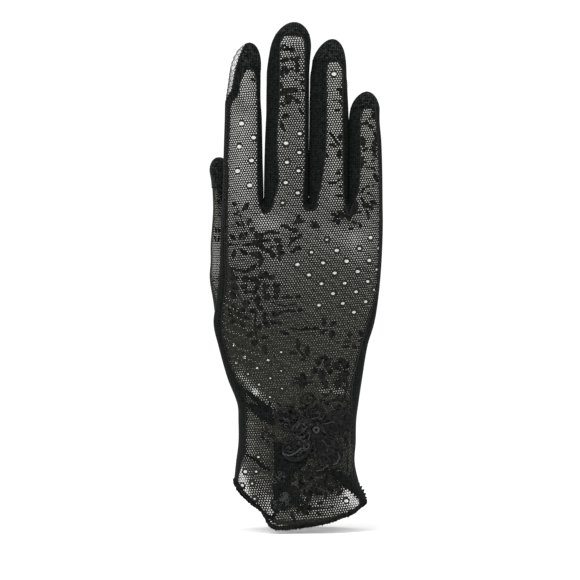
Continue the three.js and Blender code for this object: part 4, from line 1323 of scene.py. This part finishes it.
def build_motifs():
    shape = Shape()
    rows = np.array(LEAVES)
    ends = front_place(rows[:, :4].reshape(-1, 2, 2))
    for number, (start, end) in enumerate(ends):
        leaf(shape, start, end, rows[number, 4] * PHOTO_MM * MOTIF_WIDER, LEAF_BEND * (-1) ** number)
    for x, y, half_across, half_up in SPOTS:
        size = PHOTO_MM * SPOT_WIDER
        spot(shape, front_place((x, y)), half_across * size, half_up * size)
    for points, width in STEMS:
        motif(shape, resampled(front_place(points), MOTIF_STEP), width * PHOTO_MM / 2)
    for x0, y0, x1, y1, width in THUMB_LEAVES:
        start, end = from_photo([(x0, y0), (x1, y1)])
        leaf(shape, start, end, width * PHOTO_MM, LEAF_BEND, on_thumb_front)
    scatter = np.random.default_rng(7)
    for x0, y0, x1, y1, count in THICKETS:
        places = scatter.uniform((x0, y0), (x1, y1), (count, 2))
        angles = scatter.uniform(0, np.pi, count)
        lengths = scatter.uniform(*THICKET_LEAF, count)
        half = lengths[:, None] / 2 * direction(angles)
        for start, end in front_place(np.stack([places - half, places + half], 1)):
            leaf(shape, start, end, THICKET_WIDTH * PHOTO_MM, LEAF_BEND)
    return shape.make("lace_motifs", MOTIF)


# Folds of lace cloth laid over each other, in the photograph's pixels: path and width along it
TUCKS = [
    ("wrist_tuck", [(246, 404), (256, 409), (266, 415), (273, 424)], (3, 9, 13, 5)),
    ("cuff_fold_left", [(279, 498), (278, 504), (276, 512), (271, 518), (264, 513)], (2, 4, 4, 4, 3)),
    ("cuff_fold_right", [(333, 473), (341, 478), (350, 484), (360, 494), (365, 500)], (3, 9, 12, 10, 5)),
    ("cuff_pleat", [(247, 455), (257, 461), (264, 467), (270, 470)], (2, 3.4, 3.4, 1.5)),
    ("wrist_pleat", [(240, 386), (252, 396), (262, 404), (272, 409)], (2, 4, 4.5, 2)),
]
TUCK_LIFT = 0.15
TUCK_RISE = 0.8
TUCK_STEP = 0.35


def build_tuck(name, points, widths):
    shape = Shape()
    rows = np.column_stack([front_place(points), np.array(widths) * PHOTO_MM / 2])
    path = resampled(rows, TUCK_STEP)
    motif(shape, path[:, :2], path[:, 2], TUCK_LIFT, TUCK_RISE)
    return shape.make(name, KNIT)


# Seams: cords and over-edge stitches on the front

SEAM_RADIUS = 0.3
SEAM_LIFT = 0.32
SEAM_STEP = 0.9
STITCH_RISE = 0.3
FRINGE_STEP = 2.5
FRINGE_REACH = 2.4
FRINGE_RADIUS = 0.1
FRINGE_HEIGHTS = (200.5, 221)
FRINGE_LIFT = 0.15
# How far a scallop starts inside the outline, and how much its outer end lies higher
FRINGE_UNDER = 0.2
FRINGE_SLANT = 0.3


def seam(shape, places, radius=SEAM_RADIUS):
    shape.tube(on_front(resampled(places, SEAM_STEP), SEAM_LIFT), radius, 5)


def stitches(shape, places, step, reach, radius):
    """Zigzag of thread over a seam."""
    path = resampled(places, step / 4)
    turn = np.arange(len(path)) * np.pi / 2
    path = path + beside(path) * (reach * np.sin(turn))[:, None]
    shape.tube(on_front(path, SEAM_LIFT + STITCH_RISE * np.cos(turn) ** 2), radius, 5)


# Runs of stitches: edge, whether they lie halfway from it to the outline, from and to which height, places
# measured along it, step, reach to each side and radius
STITCH_RUNS = [
    (THUMB_BAND_EDGE, True, 152, 199, 40, 1.5, 0.75, 0.34),
    (THUMB_BAND_EDGE, True, 96, 150, 40, 1.3, 0.5, 0.2),
    (LITTLE_BAND_EDGE, False, 96, 188, 60, 1.4, 0.3, 0.18),
    (INDEX_WRAP_EDGE, False, 199, 223, 24, 1.4, 0.5, 0.26),
]
# Stitches lie this much to the right of their line, and the thumb side's seam to the left of it
STITCH_SHIFT = 0.3
THUMB_SEAM_SHIFT = -0.2
WRAP_SEAM = 0.45


def build_seams():
    shape = Shape()
    for _, left_finger, left_rows, right_finger, right_rows, _ in CROTCHES:
        for finger, rows, aside in ((left_finger, left_rows, -1), (right_finger, right_rows, 1)):
            top = FINGERS[finger]["lace_top"]
            places = line(rows, 0, None, top)
            places[:, 0] += aside * arch(places[:, 1], top)
            seam(shape, places)
    for rows, shift, foot in (
        (THUMB_BAND_EDGE, THUMB_SEAM_SHIFT, BAND_FEET["thumb"]),
        (LITTLE_BAND_EDGE, 0, BAND_FEET["little"]),
    ):
        seam(shape, line(rows, shift, hem_height_at(foot, FRONT)))
    for rows, halfway, low, high, count, *thread in STITCH_RUNS:
        heights = np.linspace(low, high, count)
        across = read(rows, "across", heights)
        if halfway:
            across = (across + outline(heights)[0]) / 2
        places = np.stack([across + STITCH_SHIFT, heights], -1)
        if rows is INDEX_WRAP_EDGE:
            seam(shape, places, WRAP_SEAM)
        stitches(shape, places, *thread)
    return shape.make("seam_thread", CORD)


def build_fringe():
    """Scallops of thin thread along the thumb side of the index finger's end."""
    shape = Shape()
    turn = turns(16)
    for height in np.arange(*FRINGE_HEIGHTS, FRINGE_STEP):
        left = finger_edges("index", height)[0]
        reach = min(FRINGE_REACH, float(read(INDEX_WRAP_EDGE, "across", height)) - left)
        out = 1 - np.cos(turn)
        up = height + 0.5 * FRINGE_STEP * np.sin(turn) + FRINGE_SLANT * out
        loop = np.stack([left + FRINGE_UNDER + reach * out / 2, up], -1)
        shape.tube(on_front(loop, FRINGE_LIFT), FRINGE_RADIUS, 4, closed=True)
    return shape.make("index_end_fringe", SILK_PAINTED_SHEEN)


TIP_SEAM = 0.32
TIP_SEAM_LIFT = 0.15
# How far below the lace's end the seams run, on the fingers and on the thumb
TIP_SEAM_BELOW, THUMB_SEAM_BELOW = 0.5, 0.4


def build_tip_seams():
    """Round seams where the finger ends meet the lace."""
    shape = Shape()
    for name, finger in FINGERS.items():
        height = finger["lace_top"] - TIP_SEAM_BELOW
        ring = finger_ring(name, height, TIP_SEAM_LIFT)
        if name == "index":
            ring = np.roll(ring, TIP_SIDES // 2, 0)
            ring = ring[ring[:, 0] > float(read(INDEX_WRAP_EDGE, "across", height))]
        shape.tube(ring, TIP_SEAM, 5, closed=name != "index")
    height = np.full(TIP_SIDES, THUMB_LACE_TOP - THUMB_SEAM_BELOW)
    shape.tube(on_thumb(turns(TIP_SIDES), height, TIP_SEAM_LIFT), TIP_SEAM, 5, closed=True)
    return shape.make("finger_end_seams", KNIT)


# Flower: petals of dense lace with corded edges, a scalloped heart and a wound ring

PETAL_ROOT = 2.6
PETAL_BLUNTNESS = 0.4
# Direction, half angle in degrees, length, lift, number of ribs, number of curls
PETALS = {
    "petal_lower_right": (-62, 35, 19, 1.3, 9, 14),
    "petal_lower_left": (-137, 33, 18.5, 1.0, 6, 80),
    "petal_upper_left": (158, 26, 19.5, 0.9, 5, 60),
    "petal_top": (92, 34, 12, 0.9, 6, 40),
    "petal_right": (15, 35, 17.5, 0.7, 5, 16),
}
# Petals of plainer, darker stitches
PLAIN_PETALS = ("petal_right", "petal_lower_right")
# A petal's lift at its root, where it is sewn on, as a share of its full lift
ROOT_SHARE = 0.25
HEART_CURLS = 90
CURL_SIZES = (0.35, 0.85)
CURL_RADII = (0.09, 0.18)
# How far round a curl goes, its points, its height as a share of its width, and how far it stands off
CURL_TURNS = (2.6, 5.6)
CURL_STEPS = 9
CURL_FLAT = 0.8
CURL_RISE = 0.2
PETAL_RUFFLE = 0.32
PETAL_CUP = 0.5
PETAL_CORD = 0.24
PETAL_CORD_LIFT = 0.1
RIB_RADIUS = 0.14
# Shares of the half angle that ribs, loops and curls lie within, and shares of the length that ribs do
RIB_SPREAD, LOOP_SPREAD, CURL_SPREAD = 0.8, 0.92, 0.9
RIB_ENDS = (0.15, 0.92)
# How far inside the edge the loops lie, where their second row lies and how large it is
LOOP_INSET = 0.9
SECOND_ROW, SECOND_SIZE = 0.6, 0.7
# Curls lie within these shares of the length, closer together towards the edge
CURL_ENDS = (0.1, 0.95)
CURL_CROWDING = 0.6
SCALLOP = 0.65
LOOP_RADIUS = 0.11
CORD_SHARE = 0.62
HEART = (3.1, 45.6)
HEART_RADIUS = 6.2
HEART_SCALLOPS = 7
HEART_LIFT = 1.1
# How much lower the heart's rim lies
HEART_SUNK = 0.3
RING_RADIUS = 1.12
RING_CORD = 0.42
RING_LIFT = 1.75
RING_THREAD = 0.13
RING_TURNS = 22
FLOWER_STEP = 0.4
# Rows of a petal, of the heart and of the tail. Every other row is a little higher.
PETAL_ROWS, PETAL_WEAVE = 36, 0.05
HEART_ROWS, HEART_SIDES = 20, 84
TAIL_ROWS, TAIL_COLUMNS, TAIL_WEAVE = 120, 44, 0.04
# The heart's curls lie within these shares of its area
HEART_CURL_ENDS = (0.02, 0.9)
# How far the heart's scallops are cut in, their ruffle, and the small loops at its rim and round the ring
HEART_CUT = 0.8
HEART_RUFFLE = 0.12
RIM_LOOP_AT, RIM_LOOP = 0.86 * HEART_RADIUS, 0.6
INNER_LOOP_AT, INNER_LOOP = 3.1, 0.55
# No curls stand nearer to the ring's middle
CURLS_FROM = 2.4
# Where a petal is longer than this it has a second row of loops
LONG_PETAL = 7.4
# Cords thicker than this are silk, whose lighter grey is partly painted sheen
SILK_FROM = 0.25

# Cords laid on the flower, in the photograph's pixels, with their radius
FLOWER_CORDS = {
    "petal_lower_left": [
        ([(283, 453), (287, 455.5), (292, 455), (297, 452), (301, 448)], 0.5),
        ([(284, 441), (287, 443), (285, 446), (282, 444)], 0.25),
        ([(291, 439), (294, 442), (291, 445), (288, 442)], 0.25),
        ([(290, 447), (293, 450), (290, 452), (287, 450)], 0.22),
    ],
    "petal_lower_right": [
        ([(316, 471), (320, 470.5), (323, 469), (327, 465)], 0.36),
        ([(331, 465), (334, 464), (336.5, 460), (337, 455), (336, 452)], 0.4),
        ([(340, 465), (341, 458), (340.5, 452)], 0.26), ([(311, 455), (314, 463), (316, 468)], 0.22),
        ([(316, 455), (320, 462), (323, 466)], 0.22), ([(322, 453), (327, 458), (330, 462)], 0.22),
        ([(325, 448), (331, 451), (333, 457)], 0.22),
    ],
    "petal_top": [
        ([(320, 415), (325, 417), (330, 419), (337, 421)], 0.22),
        ([(322, 424), (327, 423.5), (331, 422), (334, 422)], 0.3),
        ([(311, 419), (316, 418), (322, 419)], 0.26), ([(311, 415), (316, 413.6), (320, 414)], 0.2),
        ([(313, 410), (316, 408.5), (319, 410)], 0.2),
    ],
    "petal_upper_left": [
        ([(276, 412), (280, 410), (285, 411), (289, 415), (287, 419), (282, 418), (277, 415)], 0.22),
        ([(275, 414), (278, 417), (282, 419.5), (286, 420)], 0.22),
        ([(280, 413), (283, 412), (284, 415), (281, 416)], 0.22),
        ([(272, 436), (277, 438), (281, 441)], 0.25), ([(271, 432), (276, 433), (280, 436)], 0.2),
    ],
    "petal_right": [
        ([(334, 440), (338, 443), (336, 448), (332, 446), (334, 440)], 0.25),
        ([(340, 441), (343, 445), (341, 450)], 0.25), ([(346, 425), (349, 432), (348, 439)], 0.2),
        ([(350, 424), (352, 432), (351, 440)], 0.25),
    ],
}
HEART_CORDS = [
    ([(293, 430), (293, 427), (296, 425), (297, 428)], 0.32),
    ([(297, 428), (299, 424.5), (302, 423.5), (305, 426)], 0.34),
    ([(301, 433), (304, 430), (307, 426.5)], 0.42),
    ([(296.5, 436), (300, 437.5), (304, 437), (304, 434)], 0.32),
    ([(303.5, 444), (304, 448), (307, 449), (309, 446), (307.5, 443)], 0.36),
    ([(308, 432), (309.5, 436), (308, 440)], 0.3), ([(321, 440), (324, 442), (326, 446)], 0.3),
    ([(323, 431), (326, 435), (324, 438)], 0.25),
]
PICOT_SIZE = (0.75, 0.6)
PICOT_CORD = 0.2
PICOT_LIFT, PICOT_UNEVEN = 0.25, 0.1
PICOTS = [(351, 446), (350, 450), (350.5, 454), (349.5, 458), (350, 462), (349, 466), (350, 470)]


class Petal:
    """Outline and height above the glove of one petal."""

    def __init__(self, heading, half_angle, length, lift, ribs, curls):
        self.heading, self.half_angle, self.length = heading, half_angle, length
        self.lift, self.ribs, self.curls = lift, ribs, curls

    def reach(self, share):
        """Length from the root to the edge, along a ray at a share of the half angle."""
        bend = np.cos(np.pi / 2 * np.clip(share, -0.995, 0.995)) ** PETAL_BLUNTNESS
        return (self.length - PETAL_ROOT) * bend

    def place(self, share, out):
        """Place on the front at a share of the half angle, and out from the root (0) to the edge (1)."""
        ray = np.radians(self.heading + self.half_angle * share)
        radius = PETAL_ROOT + self.reach(share) * out
        return np.array(FLOWER) + radius[..., None] * direction(ray)

    def height(self, share, out):
        ruffle = PETAL_RUFFLE * np.sin(np.pi * self.ribs * share) * out
        return self.lift * (ROOT_SHARE + (1 - ROOT_SHARE) * out) + ruffle + PETAL_CUP * out**2

    def height_at(self, places):
        """Height of the petal at places on the front, and nothing beyond its edge."""
        aside = places - np.array(FLOWER)
        turn = np.degrees(np.arctan2(aside[..., 1], aside[..., 0])) - self.heading
        share = ((turn + 180) % 360 - 180) / self.half_angle
        out = (np.hypot(aside[..., 0], aside[..., 1]) - PETAL_ROOT) / self.reach(share)
        within = (1 - ease(1, 1.06, np.abs(share))) * (1 - ease(1, 1.06, out))
        return within * self.height(np.clip(share, -1, 1), np.clip(out, 0, 1))


def heart_height(share):
    """Height of the flower's heart at a share of its radius."""
    return HEART_LIFT - HEART_SUNK * share**2


def flower_height(places):
    """How high the flower's topmost cloth stands above the glove at places on the front."""
    heights = [petal.height_at(places) for petal in PETAL_FORMS.values()]
    share = np.linalg.norm(places - np.array(HEART), axis=-1) / HEART_RADIUS
    heights.append(np.where(share < 1, heart_height(share), 0))
    return np.max(heights, axis=0)


PETAL_FORMS = {name: Petal(*form) for name, form in PETALS.items()}


def flower_cord(shape, points, radius):
    path = resampled(front_place(points), FLOWER_STEP)
    shape.tube(on_front(path, flower_height(path) + radius), radius, 6, flat=0.8)


def small_loop(shape, middle, size):
    loop = middle + size * direction(turns(10))
    shape.tube(on_front(loop, flower_height(loop) + LOOP_RADIUS), LOOP_RADIUS, 4, closed=True)


def curl_thread(shape, middle, height, scatter):
    """Short curled thread standing a little off the cloth. height(places) is the cloth's own height."""
    size = scatter.uniform(*CURL_SIZES)
    turn = scatter.uniform(0, 2 * np.pi) + np.linspace(0, scatter.uniform(*CURL_TURNS), CURL_STEPS)
    loop = middle + size * np.stack([np.cos(turn), CURL_FLAT * np.sin(turn)], -1)
    lift = height(loop) + CURL_RISE * (1 + np.sin(turn))
    shape.tube(on_front(loop, lift), scatter.uniform(*CURL_RADII), 4)


def build_petal(threads, edges, name, form):
    cloth, cords = Shape(), Shape()
    scatter = np.random.default_rng(len(name) + form.ribs)
    share = np.linspace(-1, 1, 8 * form.ribs + 1)
    out = np.linspace(0, 1, PETAL_ROWS)[:, None]
    weave = PETAL_WEAVE * (np.arange(PETAL_ROWS) % 2)[:, None]
    cloth.grid(on_front(form.place(share, out), form.height(share, out) + weave))
    edges.tube(on_front(form.place(share, 1.0), form.height(share, 1.0) + PETAL_CORD_LIFT), PETAL_CORD, 6)
    for rib in np.linspace(-RIB_SPREAD, RIB_SPREAD, form.ribs):
        out = np.linspace(*RIB_ENDS, 20)
        path = form.place(rib, out)
        edges.tube(on_front(path, form.height(rib, out) + RIB_RADIUS / 2), RIB_RADIUS, 5)
    for step in np.linspace(-LOOP_SPREAD, LOOP_SPREAD, 2 * form.ribs + 2):
        reach = form.reach(step)
        small_loop(threads, form.place(step, 1 - LOOP_INSET / reach), SCALLOP)
        if reach > LONG_PETAL:
            small_loop(threads, form.place(step, SECOND_ROW), SECOND_SIZE * SCALLOP)
    for number in range(form.curls):
        step, away = scatter.uniform(-CURL_SPREAD, CURL_SPREAD), scatter.uniform(*CURL_ENDS) ** CURL_CROWDING
        curl_thread(threads if number % 6 else cords, form.place(step, away), flower_height, scatter)
    for points, thick in FLOWER_CORDS[name]:
        flower_cord(cords if thick > SILK_FROM else threads, points, CORD_SHARE * thick)
    material = MOTIF if name in PLAIN_PETALS else KNOTTED_PAINTED_SHADE
    return cloth.make(name, material), cords.make(f"{name}_cords", SILK_PAINTED_SHEEN)


def build_heart(threads):
    cloth, cords = Shape(), Shape()
    angle = turns(HEART_SIDES)
    rim = HEART_RADIUS - HEART_CUT * np.abs(np.sin(HEART_SCALLOPS * angle / 2))
    out = np.linspace(0.02, 1, HEART_ROWS)[:, None]
    places = np.array(HEART) + (rim * out)[..., None] * direction(angle)
    ruffle = HEART_RUFFLE * np.cos(HEART_SCALLOPS * angle) * out
    weave = PETAL_WEAVE * (np.arange(HEART_ROWS) % 2)[:, None]
    cloth.grid(on_front(places, heart_height(rim * out / HEART_RADIUS) + ruffle + weave), around=True)
    scatter = np.random.default_rng(11)
    for number in range(HEART_CURLS):
        ray, away = scatter.uniform(0, 2 * np.pi), HEART_RADIUS * scatter.uniform(*HEART_CURL_ENDS) ** 0.5
        middle = np.array(HEART) + away * direction(ray)
        if np.hypot(*(middle - FLOWER)) > CURLS_FROM:
            curl_thread(threads if number % 8 else cords, middle, flower_height, scatter)
    for points, thick in HEART_CORDS:
        flower_cord(cords, points, CORD_SHARE * thick)
    for ray in direction(turns(4 * HEART_SCALLOPS)):
        small_loop(threads, np.array(HEART) + RIM_LOOP_AT * ray, RIM_LOOP)
        small_loop(threads, np.array(FLOWER) + INNER_LOOP_AT * ray, INNER_LOOP)
    return cloth.make("flower_middle", KNOTTED_PAINTED_SHADE), cords.make("flower_middle_cords", SILK_PAINTED_SHEEN)


def build_ring():
    shape = Shape()
    middle = on_front(np.array(FLOWER), RING_LIFT)
    x, deep, z = np.eye(3)
    outward = direction(turns(40)) @ np.array([x, z])
    shape.tube(middle + RING_RADIUS * outward, RING_CORD, 8, closed=True)
    wound = (RING_CORD + 0.02) * direction(turns(8))
    for aside in direction(turns(RING_TURNS)) @ np.array([x, z]):
        loop = middle + RING_RADIUS * aside + wound @ np.array([aside, deep])
        shape.tube(loop, RING_THREAD, 4, closed=True, normals=loop - middle)
    return shape.make("flower_ring_wound", SILK_PAINTED_SHEEN)


def build_picots():
    """Small loops at the right of the flower."""
    shape = Shape()
    for number, pixel in enumerate(PICOTS):
        loop = front_place(pixel) + PICOT_SIZE * direction(turns(12))
        lift = flower_height(loop) + PICOT_LIFT + PICOT_UNEVEN * (number % 2)
        shape.tube(on_front(loop, lift), PICOT_CORD, 5, closed=True)
    return shape.make("picots", SILK_PAINTED_SHEEN)


# Ribbon tail under the flower: its lower end is cut unevenly
TAIL_LEFT = -10.7
TAIL_RIGHT = table("height across", [
    (11, 0.6), (14, 0.9), (17.5, -0.6), (19.5, -3.2), (24.5, -3), (28, -0.4), (31, 3.6), (36, 4.6),
    (41, 4.8),
])
TAIL_TOP = 41
TAIL_END = table("across height", [(-10.7, 12), (-6.5, 10), (-2.6, 12.4), (0.6, 11)])
TAIL_LIFT = 0.45
# Waves of the tail: size, and radians for each millimetre across and up
TAIL_WAVES = [(0.25, 1.1, 0.12), (0.15, 2.3, -0.2)]
# Lacy places on the tail: a rectangle in the photograph's pixels and its number of loops
TAIL_LACE = [
    (275, 472, 286, 482, 14), (279, 493, 290, 506, 30), (291, 481, 297, 486, 8), (275, 500, 284, 508, 12),
]


def tail_height(places):
    """How high the tail stands above the glove at places on the front."""
    across, height = places[..., 0], places[..., 1]
    share = np.clip((TAIL_TOP - height) / (TAIL_TOP - TAIL_END["height"].mean()), 0, 1)
    wave = sum(size * np.sin(across * x + height * z) for size, x, z in TAIL_WAVES)
    return TAIL_LIFT + wave * share


def build_tail(threads):
    shape = Shape()
    aside = np.linspace(0, 1, TAIL_COLUMNS)
    end = np.interp(TAIL_LEFT * (1 - aside), TAIL_END["across"], TAIL_END["height"])
    share = np.linspace(0, 1, TAIL_ROWS)[:, None]
    height = TAIL_TOP + (end - TAIL_TOP) * share
    across = TAIL_LEFT + (read(TAIL_RIGHT, "across", height) - TAIL_LEFT) * aside
    rib = TAIL_WEAVE * (np.arange(TAIL_ROWS) % 2)[:, None]
    places = np.stack([across, height], -1)
    shape.grid(on_front(places, tail_height(places) + rib))
    scatter = np.random.default_rng(3)
    for x0, y0, x1, y1, count in TAIL_LACE:
        for place in scatter.uniform((x0, y0), (x1, y1), (count, 2)):
            curl_thread(threads, front_place(place), tail_height, scatter)
    return shape.make("tail_ribbon", KNIT)


# Hem: a rolled edge wound with thread

HEM_TURNS = 150
HEM_CORE = 0.7
HEM_THREAD = 0.28
# Unevenness of the winding: the turns' size, the thread's thickness and the slant, the last in millimetres
HEM_UNEVEN = (0.85, 1.25)
HEM_THREAD_UNEVEN = (0.7, 1.2)
HEM_SLANT, HEM_SLIP = 0.35, 0.5


def build_hem():
    shape = Shape()
    path, radius = hem_path(turns(400))
    shape.tube(path, HEM_CORE * radius, 8, closed=True)
    length = run_length(path)
    places = np.linspace(0, length[-1], HEM_TURNS, endpoint=False)
    centre = np.stack([np.interp(places, length, path[:, i]) for i in range(3)], -1)
    thickness = np.interp(places, length, radius)
    along = unit(np.roll(centre, -1, 0) - np.roll(centre, 1, 0))
    out = unit(np.cross(along, [0.0, 0.0, 1.0]))
    up = np.cross(out, along)
    around = turns(10)
    scatter = np.random.default_rng(5)
    for middle, ahead, aside, above, thick in zip(centre, along, out, up, thickness):
        core = HEM_CORE * thick * scatter.uniform(*HEM_UNEVEN)
        slant = HEM_SLANT * np.sin(around) + scatter.uniform(-HEM_SLIP, HEM_SLIP)
        loop = middle + core * direction(around) @ np.array([aside, above]) + slant[:, None] * ahead
        thread = HEM_THREAD * thick * scatter.uniform(*HEM_THREAD_UNEVEN)
        shape.tube(loop, thread, 5, closed=True, normals=loop - middle)
    return shape.make("rolled_hem", MOTIF)


# Assembly

net_back = build_back()
net_palm = build_palm()
net_thumb = build_thumb()
thumb_band, little_band = build_bands()
strips = {name: build_fourchette(name, *rest) for name, *rest in CROTCHES}
tips = {name: build_tip(name) for name in FINGERS}
thumb_end = build_thumb_tip()
hem = build_hem()
motifs = build_motifs()
tucks = [build_tuck(*rest) for rest in TUCKS]
seams = build_seams()
tip_seams = build_tip_seams()
fringe = build_fringe()
loops, edges = Shape(), Shape()
petals = {name: build_petal(loops, edges, name, form) for name, form in PETAL_FORMS.items()}
heart, heart_cords = build_heart(loops)
tail_lace = Shape()
tail = build_tail(tail_lace)
tail_lace = tail_lace.make("tail_lace", SILK_PAINTED_SHEEN)
flower_loops = loops.make("flower_loops", THREAD)
flower_edges = edges.make("flower_edges", CORD)
ring = build_ring()
picots = build_picots()

REPLACED = {
    "lace_back": net_back,
    "lace_palm": net_palm,
    "lace_thumb": net_thumb,
    "band_thumb_side": thumb_band,
    "band_little_side": little_band,
    **{f"fourchette_{name}": strip for name, strip in strips.items()},
    **{f"tip_{name}": tip for name, tip in tips.items()},
    "tip_thumb": thumb_end,
    "hem_roll": hem,
    **{f"flower_{name}": petal for name, (petal, _) in petals.items()},
    "flower_heart": heart,
    "flower_ring": ring,
    "ribbon_tail": tail,
}
for node, piece in REPLACED.items():
    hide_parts(node)

# Camera, light and floor

SENSOR = 36
WORLD_STRENGTH = 1.08
FLOOR_TONE = (0.95, 0.95, 0.945, 1)
# The floor lies just below the lowest thread of the hem, in metres
FLOOR_HEIGHT = -0.0006
# Place and power
LIGHTS = {"key": ((-0.6, -0.9, 0.9), 12), "fill": ((0.8, -0.9, 0.5), 6)}
LIGHT_TARGET = (0, 0, 0.12)
LIGHT_SIZE = 0.8


def make_camera():
    camera = bpy.data.cameras.new("camera")
    camera.sensor_width = SENSOR
    camera.lens = SENSOR * CAMERA_DISTANCE / (PHOTO_SIZE * PHOTO_MM)
    piece = bpy.data.objects.new("camera", camera)
    across, height = from_photo((PHOTO_SIZE / 2, PHOTO_SIZE / 2))
    piece.location = (across * MM, -CAMERA_DISTANCE * MM, height * MM)
    piece.rotation_euler = (math.pi / 2, 0, 0)
    bpy.context.scene.collection.objects.link(piece)
    bpy.context.scene.camera = piece


def make_light(name, place, power):
    light = bpy.data.lights.new(name, "AREA")
    light.size = LIGHT_SIZE
    light.energy = power
    piece = bpy.data.objects.new(name, light)
    piece.location = place
    aim = np.array(LIGHT_TARGET) - np.array(place)
    piece.rotation_mode = "QUATERNION"
    piece.rotation_quaternion = Vector(aim).to_track_quat("-Z", "Y")
    bpy.context.scene.collection.objects.link(piece)


def make_floor():
    bpy.ops.mesh.primitive_circle_add(vertices=96, radius=3, fill_type="NGON", location=(0, 0, FLOOR_HEIGHT))
    floor = bpy.context.object
    floor.name = "floor"
    material = bpy.data.materials.new("floor")
    material.use_nodes = True
    shader = material.node_tree.nodes["Principled BSDF"]
    shader.inputs["Base Color"].default_value = FLOOR_TONE
    shader.inputs["Roughness"].default_value = 0.8
    floor.data.materials.append(material)


def make_world():
    world = bpy.data.worlds.new("world")
    world.use_nodes = True
    background = world.node_tree.nodes["Background"]
    background.inputs["Color"].default_value = (1, 1, 1, 1)
    background.inputs["Strength"].default_value = WORLD_STRENGTH
    bpy.context.scene.world = world
    bpy.context.scene.view_settings.view_transform = "Standard"


make_camera()
make_world()
make_floor()
for name, (place, power) in LIGHTS.items():
    make_light(name, place, power)
